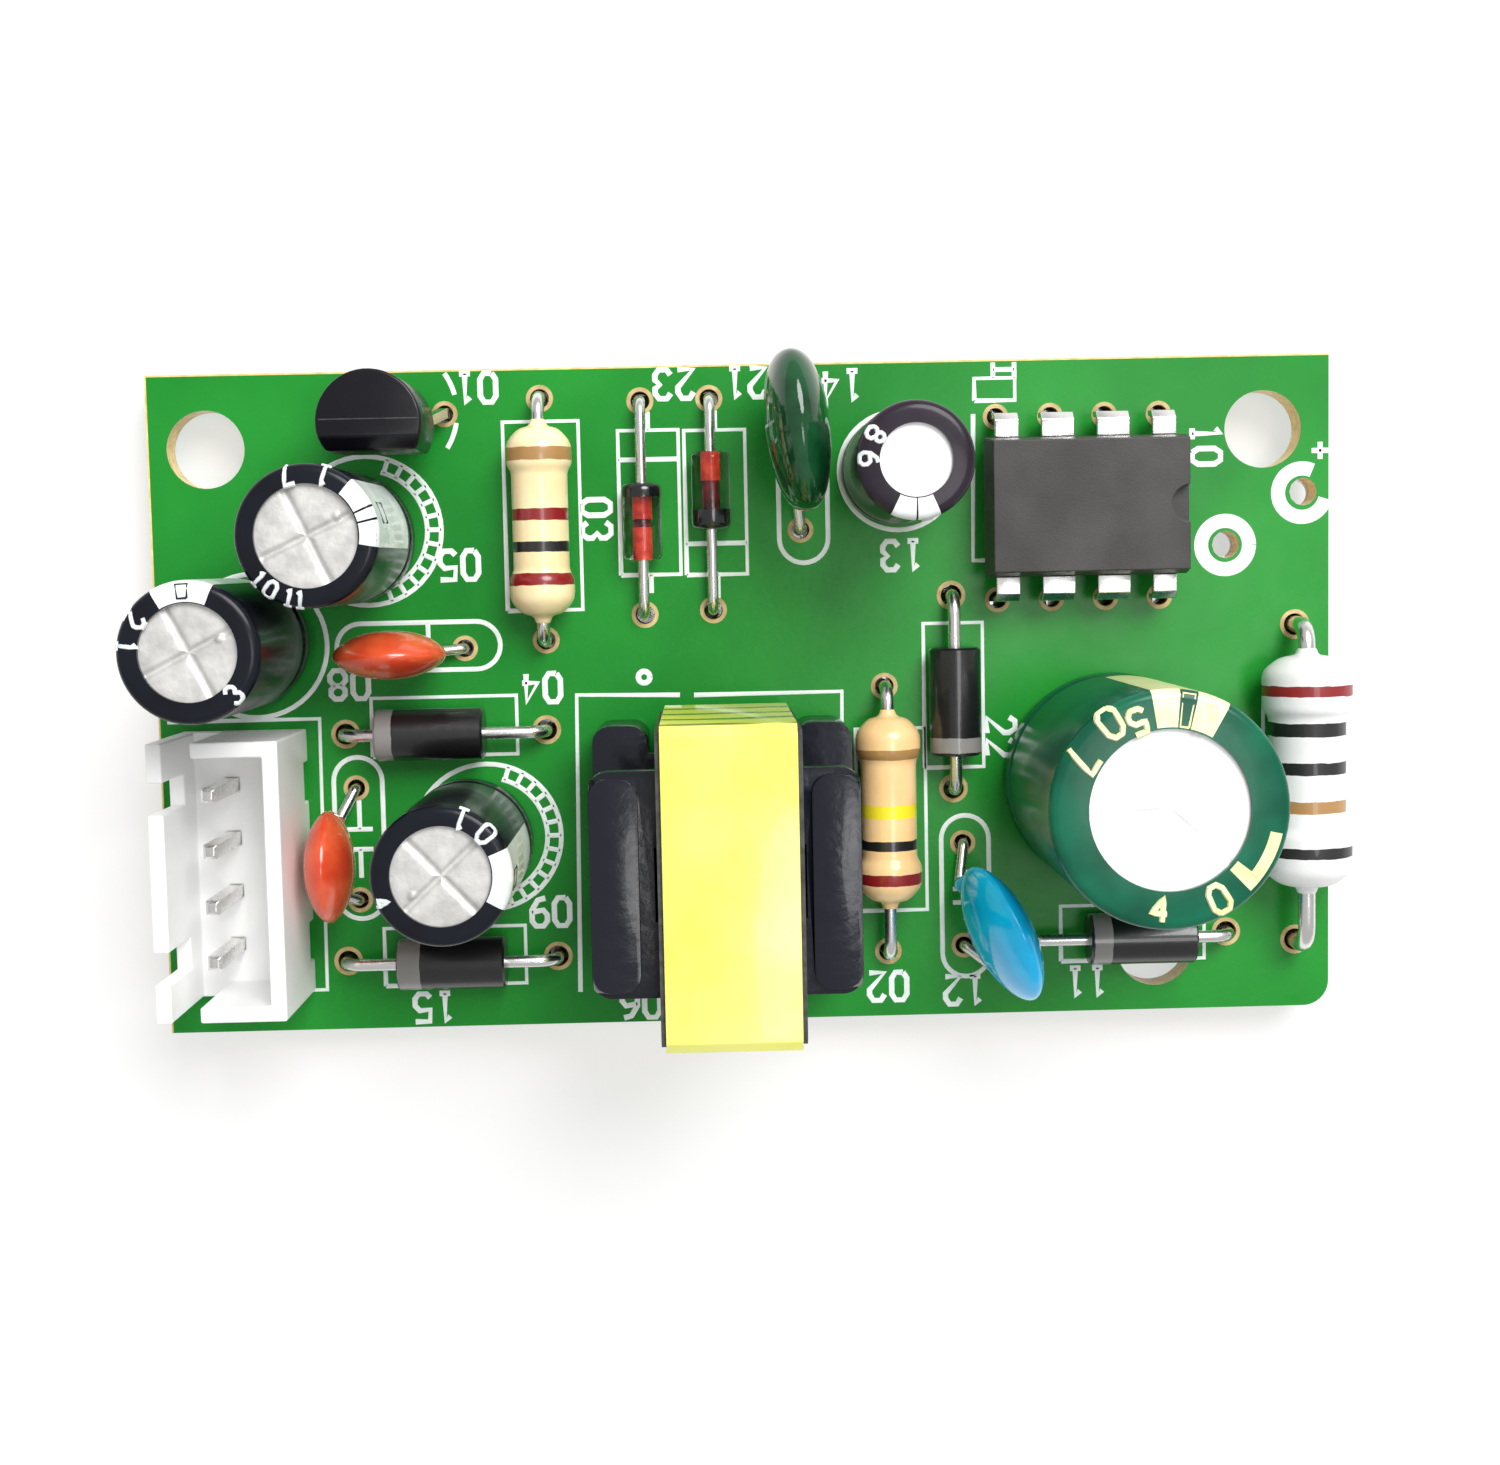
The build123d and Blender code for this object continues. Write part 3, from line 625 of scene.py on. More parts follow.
# %% Numbers beside the parts
STROKES = {
    "0": [[(0.25, 0), (0.75, 0), (1, 0.3), (1, 1.1), (0.75, 1.4), (0.25, 1.4), (0, 1.1), (0, 0.3),
           (0.25, 0)]],
    "1": [[(0.2, 1.15), (0.5, 1.4), (0.5, 0)], [(0.15, 0), (0.85, 0)]],
    "2": [[(0, 1.1), (0.25, 1.4), (0.75, 1.4), (1, 1.1), (1, 0.85), (0, 0), (1, 0)]],
    "3": [[(0, 1.15), (0.25, 1.4), (0.75, 1.4), (1, 1.15), (1, 0.9), (0.7, 0.72), (1, 0.5),
           (1, 0.25), (0.75, 0), (0.25, 0), (0, 0.25)]],
    "4": [[(0.75, 0), (0.75, 1.4), (0, 0.45), (1, 0.45)]],
    "5": [[(1, 1.4), (0.05, 1.4), (0, 0.8), (0.7, 0.85), (1, 0.6), (1, 0.25), (0.75, 0),
           (0.25, 0), (0, 0.2)]],
    "6": [[(0.9, 1.4), (0.4, 1.3), (0, 0.8), (0, 0.25), (0.25, 0), (0.75, 0), (1, 0.25),
           (1, 0.55), (0.75, 0.8), (0, 0.7)]],
    "7": [[(0, 1.4), (1, 1.4), (0.4, 0)]],
    "8": [[(0.3, 0.75), (0, 0.5), (0, 0.25), (0.25, 0), (0.75, 0), (1, 0.25), (1, 0.5),
           (0.7, 0.75), (0.3, 0.75), (0.05, 0.95), (0.05, 1.2), (0.3, 1.4), (0.7, 1.4),
           (0.95, 1.2), (0.95, 0.95), (0.7, 0.75)]],
    "9": [[(0.1, 0), (0.6, 0.1), (1, 0.6), (1, 1.15), (0.75, 1.4), (0.25, 1.4), (0, 1.15),
           (0, 0.85), (0.25, 0.6), (1, 0.7)]],
}


def number(text, x, y, turn):
    """The strokes of a number whose middle is at x, y, turned by whole degrees."""
    pitch, wide, tall = 1.06, 0.72, 0.95
    spin = Matrix.Rotation(radians(turn), 2)
    lines = []
    for place, digit in enumerate(text):
        shift = (place - (len(text) - 1) / 2) * pitch
        for stroke in STROKES[digit]:
            flat = [Vector((shift + (u - 0.5) * wide, (v - 0.7) * tall)) for u, v in stroke]
            lines.append([(x + p.x, y + p.y) for p in (spin @ point for point in flat)])
    return lines


labels = [
    ("01", 15.3, 29.95, 180), ("03", 20.69, 23.8, -90), ("05", 14.25, 21.78, 180),
    ("08", 8.94, 16.32, 180), ("04", 17.91, 15.97, 180), ("09", 18.05, 5.36, 180),
    ("15", 12.4, 0.92, 180), ("13", 34.92, 21.81, 180), ("22", 39.48, 13.21, -90),
    ("02", 33.96, 1.4, 180), ("12", 37.58, 1.13, 180), ("11", 43.42, 1.39, 180),
    ("10", 49.25, 26.66, -90), ("21", 27.81, 29.95, 180), ("23", 24.46, 29.95, 180),
    ("14", 32.2, 29.73, 180), ("06", 22.2, 0.86, 180),
]
strokes = []
for text, x, y, turn in labels:
    strokes += number(text, x, y, turn)
ink_lines("ink_numbers", strokes, 0.27, ink, "board")

# %% [markdown]
# The copper lies under the board, beneath the same lacquer, and shows as a paler green.
# Broad tracks carry the mains and the output, and narrow ones the signals. Each is a
# pressed stroke from one solder joint to the next. The two input holes get round pads.

# %% Tracks under the board
track_green = surface("lacquered copper", (0.05, 0.42, 0.06), 0.3, shine=0.3,
                      tones=((0.03, 0.34, 0.04), (0.08, 0.50, 0.07), 3.0), grain=(0.5, 0.006))
broad_tracks = [
    [(53.85, 23.4), (54.0, 21.0), (53.4, 18.2)], [(53.4, 3.2), (50.1, 3.65)],
    [(40.3, 3.65), (42.5, 6.0), (44.55, 8.65)], [(40.3, 3.65), (34.0, 3.1), (31.2, 3.4)],
    [(50.12, 21.0), (50.1, 17.2), (44.55, 13.65)], [(44.55, 13.65), (44.47, 19.65)],
    [(21.4, 3.4), (18.35, 3.25)], [(21.4, 10.9), (18.1, 14.0)],
    [(8.7, 14.0), (5.5, 13.0), (3.525, 11.85)],
    [(8.7, 14.0), (6.6, 17.0), (8.05, 23.1)], [(8.45, 3.25), (11.0, 5.2), (13.15, 8.85)],
    [(8.45, 3.25), (3.525, 4.35)],
]
narrow_tracks = [
    [(37.6, 8.2), (36.0, 12.0), (34.0, 15.7)], [(37.2, 10.8), (37.6, 8.2)],
    [(37.2, 19.9), (38.6, 20.6), (39.39, 19.65)], [(39.39, 19.65), (41.93, 19.65)],
    [(44.47, 19.65), (47.01, 19.65)],
    [(37.2, 19.9), (32.6, 17.0), (31.2, 13.4)], [(34.6, 26.75), (37.0, 28.4), (39.39, 28.15)],
    [(22.85, 29.2), (26.05, 29.25)], [(26.05, 19.45), (23.6, 16.0), (21.4, 13.4)],
    [(15.65, 8.85), (12.2, 11.2), (9.1, 11.45)], [(9.1, 11.45), (5.6, 9.4), (3.525, 9.35)],
    [(3.525, 9.35), (3.525, 6.85)],
]
ink_lines("broad_tracks", broad_tracks, 1.4, track_green, "board", -BOARD_TOP, 0.05)
ink_lines("narrow_tracks", narrow_tracks, 0.7, track_green, "board", -BOARD_TOP, 0.05)
pad_rings = [arc(50.12, 21.98, 0.95), arc(53.75, 24.35, 0.95)]
ink_lines("input_pads", pad_rings, 0.66, solder, "board", -BOARD_TOP, 0.08)

# %% [markdown]
# The header is moulded in white nylon, which scatters light and never looks quite flat.
# Its edges are rounded by the mould. The pins are square tinned wire with pointed tips.

# %% Header
nylon = surface("white nylon", (0.96, 0.96, 0.955), 0.4,
                tones=((0.945, 0.945, 0.935), (0.975, 0.975, 0.97), 3.0), grain=(0.25, 0.008))
shader_of(nylon).inputs["Subsurface Weight"].default_value = 0.12
shader_of(nylon).inputs["Subsurface Radius"].default_value = (0.6 * MM, 0.5 * MM, 0.4 * MM)
softened("header_housing", nylon, "white_plastic", 0.1, flat_sided=True)
softened("header_pins", tin, "tinned_wire", 0.04)

# %% [markdown]
# A film resistor is a ceramic rod with a cap pressed on each end, dipped in lacquer, which
# swells over the caps and runs a little way down the wires. Its colour bands are painted
# rings. The rod is turned from one profile, and the bands are read off along the rod, with
# a little noise so that their edges aren't ruled.

# %% Resistors
def banded(name, ground, bands, roughness, axis="Y"):
    """A finish with painted rings. bands are (from, to, colour) along the board, in mm."""
    material = finish(name, ground[0], roughness, coat=0.35)
    bands = sorted(bands)
    low, high = bands[0][0] - 0.5, bands[-1][1] + 0.5
    corner = CORNER_Y if axis == "Y" else CORNER_X
    waver = sum_of(
        material, "MULTIPLY_ADD", noise(material, 0.7), 0.12 * MM, across(material, axis)
    )
    along = stretch(material, waver, (low + corner) * MM, (high + corner) * MM)

    def share(place):
        return (place - low) / (high - low)

    bare, full = (0, 0, 0), (1, 1, 1)
    marks = [(0.0, bare)]
    for start, end, _ in bands:
        marks += [(share(start), full), (share(end), bare)]
    mask = ramp(material, along, marks, "CONSTANT")
    colours = [(0.0, bands[0][2])]
    for (_, end, _), (start, _, colour) in zip(bands, bands[1:]):
        colours.append((share((end + start) / 2), colour))
    if len(colours) == 1:
        colours.append((1.0, bands[0][2]))
    paint = ramp(material, along, colours, "CONSTANT")
    body = blotches(material, 1.6, ground[0], ground[1], 0.3)
    return relief(overlay(material, mask, body, paint), 0.4, 0.01)


def turned_resistor(name, x, middle, length, diameter, wire, bulge, material, slot):
    """A rod with swollen ends, bulge millimetres long, that thin down onto the wires."""
    r, half = diameter / 2, length / 2
    waist, neck, run_out = 0.86 * r, wire / 2 + 0.12, half + 0.35
    side = [
        (neck, -half), (0.62 * r, -half + 0.12), (r, -half + 0.75), (r, -half + bulge),
        (waist, -half + bulge + 0.35),
    ]
    other = [(radius, -height) for radius, height in reversed(side)]
    tip = wire / 2 + 0.02
    profile = [(0, -run_out), (tip, -run_out), *side, *other, (tip, run_out), (0, run_out)]
    bm = bmesh.new()
    turned(bm, eased(profile, 0.35), spot(x, middle, r), (0, 1, 0))
    return settle(bm, name, material, slot, [name.replace("_lacquer", "_body")], crease=60)


GOLD, BLACK = (0.42, 0.23, 0.08), (0.015, 0.014, 0.014)
DARK_RED, YELLOW = (0.26, 0.012, 0.014), (0.93, 0.78, 0.03)
start_bands = [(26.5, 27.1, GOLD), (23.78, 24.32, DARK_RED), (22.34, 22.83, BLACK),
               (20.85, 21.39, DARK_RED)]
cream = banded("cream lacquer", [(0.95, 0.74, 0.40), (0.98, 0.83, 0.50)], start_bands, 0.3)
turned_resistor(
    "start_resistor_lacquer", 18.2, 23.7, 8.7, 3.0, 0.6, 1.75, cream, "cream_resistor")
bleed_bands = [(12.49, 12.95, GOLD), (9.77, 10.37, YELLOW), (8.25, 8.71, BLACK),
               (6.67, 7.18, DARK_RED)]
tan_coat = banded("tan lacquer", [(0.96, 0.60, 0.27), (0.99, 0.70, 0.36)], bleed_bands, 0.3)
turned_resistor(
    "bleed_resistor_lacquer", 34.0, 10.05, 8.7, 3.0, 0.6, 1.75, tan_coat, "tan_resistor")
fusible_bands = [(15.03, 15.53, DARK_RED), (13.17, 13.81, BLACK), (11.44, 11.99, BLACK),
                 (9.66, 10.21, GOLD), (7.6, 8.1, BLACK)]
chalk = banded("grey-white lacquer", [(0.82, 0.82, 0.81), (0.90, 0.90, 0.89)], fusible_bands, 0.45)
turned_resistor(
    "fusible_resistor_lacquer", 53.4, 11.45, 10.8, 4.1, 0.8, 2.5, chalk, "pale_resistor")

# %% [markdown]
# A diode's body is moulded round its wires: a black cylinder with fairly sharp ends and a
# silver ring printed at the end that blocks. The ring is painted, so it belongs to the
# finish.

# %% Moulded diodes
SILVER = (0.25, 0.24, 0.23)


def turned_diode(name, x, y, axis, band):
    r, half, rim = 1.2, 2.5, 0.1
    edge = [
        (0, -half), (r - rim, -half), (r, -half + rim),
        (r, half - rim), (r - rim, half), (0, half),
    ]
    moulding = [(0.006, 0.006, 0.007), (0.010, 0.010, 0.011)]
    along = "X" if axis[0] else "Y"
    material = banded(name + " moulding", moulding, [(*band, SILVER)], 0.3, along)
    bm = bmesh.new()
    turned(bm, edge, spot(x, y, r), axis)
    return settle(bm, name + "_moulding", material, "black_moulding", [name + "_body"])


turned_diode("mains_diode", 45.8, 3.65, (1, 0, 0), (43.5, 44.35))
turned_diode("clamp_diode", 37.2, 15.0, (0, 1, 0), (12.7, 13.4))
turned_diode("output_diode", 12.8, 14.0, (1, 0, 0), (10.35, 11.2))
turned_diode("second_output_diode", 13.5, 3.25, (1, 0, 0), (11.1, 12.15))

# %% [markdown]
# A glass diode is a bead melted over two copper-clad slugs that grip the chip between them.
# The slugs and the chip are seen through the glass. Clear glass is drawn as a solid bead,
# so that it bends the light, and the slugs are drawn inside it with a thin gap.

# %% Glass diodes
glass = finish("clear bead glass", (0.90, 0.88, 0.86), 0.02)
shader_of(glass).inputs["Transmission Weight"].default_value = 1.0
shader_of(glass).inputs["IOR"].default_value = 1.3
slug_copper = surface("slug copper", (0.75, 0.04, 0.02), 0.25, gloss=(0.2, 0.4, 0.4),
                      tones=((0.52, 0.014, 0.012), (0.86, 0.075, 0.035), 0.5))
mark_black = surface("mark paint", (0.006, 0.006, 0.007), 0.2, coat=0.5, grain=(0.3, 0.006))
chip_dark = surface("diode chip", (0.06, 0.004, 0.008), 0.25,
                    tones=((0.03, 0.002, 0.004), (0.22, 0.01, 0.02), 0.4))


def glass_diode(name, x, middle, band_side, mark, chip):
    """A bead of glass with its slugs, its chip and a painted end, mark millimetres long."""
    r, half, core = 0.9, 1.75, 0.36
    centre = spot(x, middle, r)

    def part(suffix, shapes, material, slot, steps, **more):
        bm = bmesh.new()
        for shape in shapes:
            turned(bm, shape, centre, (0, 1, 0), steps)
        settle(bm, name + suffix, material, slot, **more)

    bead = [
        (0, -half - 0.08), (0.3, -half - 0.05), (r, -half + 0.02),
        (r, half - 0.02), (0.3, half + 0.05), (0, half + 0.08),
    ]
    part("_glass", [eased(bead, 0.4)], glass, "diode_glass", 32,
         replaces=[name + "_bead"], crease=60)
    low, high = chip
    slugs = [
        [(0, start), (core, start), (core, end), (0, end)]
        for start, end in ((-half + 0.12, low), (high, half - 0.12))
    ]
    part("_slugs", slugs, slug_copper, "tinned_wire", 24)
    grip = core - 0.04
    square = [(0, low), (grip, low), (grip, high), (0, high)]
    part("_chip", [square], chip_dark, "black_moulding", 24)
    outside = eased([(0.3, half + 0.065), (r + 0.015, half - 0.01), (r + 0.015, half - mark)], 0.4)
    inside = [(r - 0.05, half - mark), (r - 0.3, half - 0.1), (0.3, half - 0.1)]
    painted = [(radius, band_side * height) for radius, height in outside + inside]
    part("_mark", [painted], mark_black, "black_moulding", 32)


glass_diode("left_glass_diode", 22.85, 23.6, 1, 0.62, (-0.25, 0.12))
glass_diode("right_glass_diode", 26.05, 25.0, -1, 0.85, (-1.0, 0.42))

# %% [markdown]
# A disc capacitor is dipped in resin until its edges are round, and the resin runs a
# little way down both wires. A ball is pressed into a lens and its two runs are drawn as
# short cones that sink into it. The blue one leans, so its numbers are kept for its wires.

# %% Dipped capacitors
def dipped(name, colour, shade, wet=0.16, coat=0.7, uneven=0.03):
    return surface(name, colour, wet, coat=coat, shine=0.4,
                   tones=(shade, colour, 1.5), grain=(0.9, uneven))


WIRE_APART = 0.34
LEANING = {"x": 38.8, "y": 4.6, "diameter": 6.6, "turn": -68, "lean": -12}


def disc(name, x, y, lift, diameter, thickness, turn, material, slot, lean=0.0):
    """A dipped disc on edge. turn is its heading and lean its tilt, in degrees."""
    bm = bmesh.new()
    ball = bmesh.ops.create_uvsphere(bm, u_segments=48, v_segments=32, radius=0.5 * MM)["verts"]
    bmesh.ops.scale(bm, vec=(diameter, thickness, diameter), verts=ball)
    for vert in ball:
        rim = (vert.co.x ** 2 + vert.co.z ** 2) ** 0.5 / (0.5 * diameter * MM)
        vert.co.y *= 1.0 - 0.22 * rim ** 4
    run_down = eased([(0, -0.12), (0.3, -0.12), (0.42, 0.5), (0.55, 1.3), (0, 1.7)], 0.15)
    for side in (-1, 1):
        foot = Vector((side * WIRE_APART, 0, -0.5)) * diameter * MM
        turned(bm, run_down, foot, steps=20)
    tilt = Matrix.Rotation(radians(lean), 4, "X")
    spin = Matrix.Rotation(radians(turn), 4, "Z")
    place = Matrix.Translation(spot(x, y, lift + diameter / 2))
    bmesh.ops.transform(bm, matrix=place @ spin @ tilt, verts=bm.verts)
    return settle(bm, name + "_dip", material, slot, [name + "_body"], crease=80)


orange = dipped("orange dip", (0.80, 0.115, 0.035), (0.64, 0.06, 0.02), 0.26)
blue = dipped("blue dip", (0.003, 0.54, 0.97), (0.002, 0.44, 0.86), 0.14, 0.25, 0.01)
disc("small_disc", 8.35, 8.25, 1.0, 5.1, 2.2, 90, orange, "orange_dip")
disc("end_disc", 11.4, 17.8, 1.0, 5.1, 2.2, 0, orange, "orange_dip")
disc("mains_disc", lift=1.15, thickness=2.4, material=blue, slot="blue_dip", **LEANING)

# %% [markdown]
# The film capacitor is a flat roll dipped the same way. The resin keeps some of the roll's
# shape, so it is a pillow that thins towards its ends. A ball is pressed into it: its
# height stays nearly square, and its thickness falls away like an almond's.

# %% Film capacitor
film_green = dipped("green dip", (0.008, 0.075, 0.024), (0.003, 0.038, 0.012), 0.08, 0.2)


def film_pillow(x, y, lift, thickness, length, height):
    bm = bmesh.new()
    lying = Matrix.Rotation(pi / 2, 4, "X")
    bmesh.ops.create_uvsphere(bm, u_segments=48, v_segments=32, radius=1.0, matrix=lying)
    blunt, fuller, lopsided, slant = -0.45, -0.2, 0.05, 0.3
    for vert in bm.verts:
        x_share, along, z_share = vert.co
        ring = max(0.001, (x_share ** 2 + z_share ** 2) ** 0.5)
        width = (0.93 + lopsided * along) * thickness / 2
        vert.co.x = x_share * ring ** fuller * width - slant * along
        vert.co.y = along * length / 2
        vert.co.z = z_share * ring ** blunt * height / 2
    bmesh.ops.scale(bm, vec=(MM, MM, MM), verts=bm.verts)
    bmesh.ops.translate(bm, vec=spot(x, y, lift + height / 2), verts=bm.verts)
    run_down = eased([(0, -0.25), (0.32, -0.25), (0.45, 0.3), (0.7, 1.2), (0, 1.6)], 0.15)
    for side in (-1, 1):
        turned(bm, run_down, spot(x, y + side * 0.3 * length, lift), steps=20)
    hidden = ["film_capacitor_body"]
    return settle(bm, "film_capacitor_dip", film_green, "green_dip", hidden, crease=80)


film_pillow(29.95, 27.4, 1.2, 3.1, 7.1, 7.2)

# %% [markdown]
# A can capacitor is an aluminium can in a shrunk sleeve. The sleeve follows the can's
# rolled groove near its foot and closes over its shoulder, and a printed stripe marks the
# negative wire. The can's flat top is scored with a cross so that it can vent.

# %% Can capacitors
def sleeve_line(diameter, height, lip):
    """The outside of a shrunk sleeve, from its lip outwards and down to its foot."""
    r = diameter / 2
    groove = [(r, 1.35), (r - 0.17, 1.7), (r, 2.05)]
    upwards = [(r - 0.25, 0), (r, 0.25), *groove, (r, height - 0.02), (lip, height)]
    return eased(upwards, 0.42, 4)[::-1]


def shrunk_sleeve(name, x, y, lift, line, material, slot):
    wall = 0.22
    (lip, height), r = line[0], max(radius for radius, _ in line)
    inside = [(r - wall, 0), (r - wall, height - wall - 0.05), (lip, height - wall)]
    bm = bmesh.new()
    turned(bm, line + inside, spot(x, y, lift), steps=72)
    return settle(bm, name + "_shrink", material, slot, [name + "_sleeve"], crease=50)


def towards(heading):
    return Vector((cos(radians(heading)), sin(radians(heading))))


def scored_can(name, x, y, arms, width, depth, bead, material):
    """A drawn can whose top is pressed into grooves, which run from its middle outwards.

    bead is the heading and distance of a small drop that stands on the top, or None.
    """
    low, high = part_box(name + "_can")
    r = (high[0] - low[0]) / 2 / MM
    foot, top = low[2] / MM - BOARD_TOP, high[2] / MM - BOARD_TOP
    reach = r - 0.45
    rings = round(reach / 0.09)
    profile = [
        (0, foot), (r - 0.05, foot), (r, foot + 0.05), (r, top - 0.3), (r - 0.1, top - 0.08),
        (r - 0.3, top), *((reach * (1 - k / rings), top) for k in range(rings)), (0, top),
    ]
    bm = bmesh.new()
    turned(bm, profile, spot(x, y), steps=144)
    middle = spot(x, y)
    drop_size, drop_height = 0.17, 0.07
    for vert in bm.verts:
        if vert.co.z < spot(0, 0, top).z - 0.002 * MM:
            continue
        away = ((vert.co - middle) / MM).xy
        sunk = 0.0
        for heading in arms:
            way = towards(heading)
            run, off = away @ way, away.x * way.y - away.y * way.x
            if run > -0.1:
                fade = min(1.0, max(0.0, (reach - 0.05 - run) / 0.15))
                sunk = max(sunk, fade * depth / (1 + (2 * off / width) ** 4))
        if bead:
            near = (away - towards(bead[0]) * bead[1]).length / drop_size
            if near < 1:
                sunk = -drop_height * (1 - near ** 2) ** 0.5
        vert.co.z -= sunk * MM
    return settle(bm, name + "_drawn", material, "can", [name + "_can"], crease=75)


BLACK_SLEEVE, GREEN_SLEEVE = (0.005, 0.006, 0.010), (0.004, 0.085, 0.045)
DUSKY_SLEEVE = (0.018, 0.013, 0.020)
cans = [
    ("output_capacitor", 9.3, 23.1, 0.1, 6.0, 11.4, 2.16, BLACK_SLEEVE,
     (25, 115, 205, 295), (33, 1.5)),
    ("filter_capacitor", 4.35, 18.4, 0.5, 6.0, 11.4, 2.06, BLACK_SLEEVE,
     (27, 117, 207, 297), (23, 1.4)),
    ("side_capacitor", 14.4, 8.85, 0.3, 6.0, 11.4, 2.13, BLACK_SLEEVE,
     (43, 133, 223, 313), (213, 1.45)),
    ("supply_capacitor", 34.6, 25.75, 0.1, 5.0, 10.9, 1.54, DUSKY_SLEEVE, (), None),
    ("mains_capacitor", 44.55, 11.15, 0.2, 10.0, 13.4, 3.36, GREEN_SLEEVE, (71, 184, 318), None),
]
drawn_can = surface("drawn can", (0.80, 0.78, 0.77), 0.5, metallic=0.45, grain=(0.3, 0.02),
                    tones=((0.54, 0.53, 0.51), (0.70, 0.69, 0.66), 0.8), gloss=(0.45, 0.62, 0.6))
bright_can = surface("bright can", (0.93, 0.93, 0.93), 0.45, metallic=0.2, grain=(0.5, 0.008),
                     tones=((0.90, 0.90, 0.90), (0.96, 0.96, 0.96), 0.8))
rubber = surface("seal rubber", (0.03, 0.03, 0.03), 0.6, grain=(0.3, 0.02))
sleeve_slots = {"mains_capacitor": "green_sleeve", "supply_capacitor": "purple_sleeve"}
PRESSED = {"width": 0.26, "depth": 0.13, "material": drawn_can}
SCRATCHED = {"width": 0.16, "depth": 0.08, "material": bright_can}
for name, x, y, lift, diameter, height, lip, colour, arms, bead in cans:
    thin = tuple(1.6 * part for part in colour)
    sleeve = surface(name + " sleeve", colour, 0.25, coat=0.05, shine=0.2,
                     tones=(colour, thin, 2.5), grain=(2.0, 0.02))
    slot = sleeve_slots.get(name, "black_sleeve")
    shrunk_sleeve(name, x, y, lift, sleeve_line(diameter, height, lip), sleeve, slot)
    scored_can(name, x, y, arms, bead=bead, **(PRESSED if diameter == 6.0 else SCRATCHED))
    dress(name + "_seal", rubber)
    dress(name + "_leads", tin)

# %% [markdown]
# The sleeve's print shrinks with it and folds over the can's shoulder: light blocks mark
# the negative side, and plain digits stand round the rim. Each block is a thin skin that
# follows the sleeve's own outline, spun only from its first angle to its last.

# %% Print on the sleeves
def down_the_sleeve(line, distance):
    """The radius and height of the point that far from the lip, along the outside."""
    for start, end in zip(line, line[1:]):
        a, b = Vector(start), Vector(end)
        step = (b - a).length
        if distance <= step:
            return tuple(a.lerp(b, distance / step))
        distance -= step
    return line[-1]


def block(bm, line, place, start, end, near, far):
    """A skin of ink between two angles, and between two distances from the lip."""
    steps = max(1, round((far - near) / 0.15))
    walk = [down_the_sleeve(line, near + (far - near) * k / steps) for k in range(steps + 1)]
    section = [(r + 0.012, h + 0.012) for r, h in walk]
    section += [(r - 0.05, h - 0.05) for r, h in reversed(walk)]
    seat = Matrix.Translation(place) @ Matrix.Rotation(radians(start), 4, "Z")
    verts = [bm.verts.new(seat @ (Vector((r, 0, h)) * MM)) for r, h in section]
    rim = [bm.edges.new(pair) for pair in zip(verts, verts[1:] + verts[:1])]
    bmesh.ops.contextual_create(bm, geom=rim)
    spun = bmesh.ops.spin(bm, geom=rim, cent=place, axis=(0, 0, 1), angle=radians(end - start),
                          steps=max(2, round((end - start) / 4)))
    last = [g for g in spun["geom_last"] if isinstance(g, bmesh.types.BMEdge)]
    bmesh.ops.contextual_create(bm, geom=last)


def on_sleeve(line, place, angle, distance, sink=0.05):
    """The point that far under the sleeve's skin, at an angle and a distance from the lip."""
    r, h = down_the_sleeve(line, distance)
    turn = radians(angle)
    return place + Vector(((r - sink) * cos(turn), (r - sink) * sin(turn), h - sink)) * MM


def digit_lines(line, place, digit, angle, near, tall):
    """One digit, standing with its head towards the lip."""
    r = line[0][0] + near + tall / 2
    wide = degrees(0.62 * tall / r)
    lines = []
    for stroke in STROKES[digit]:
        points = []
        for (u0, v0), (u1, v1) in zip(stroke, stroke[1:]):
            points += [(u0 + (u1 - u0) * k / 4, v0 + (v1 - v0) * k / 4) for k in range(4)]
        points.append(stroke[-1])
        lines.append([
            on_sleeve(line, place, angle + (u - 0.5) * wide, near + (1.4 - v) / 1.4 * tall)
            for u, v in points
        ])
    return lines


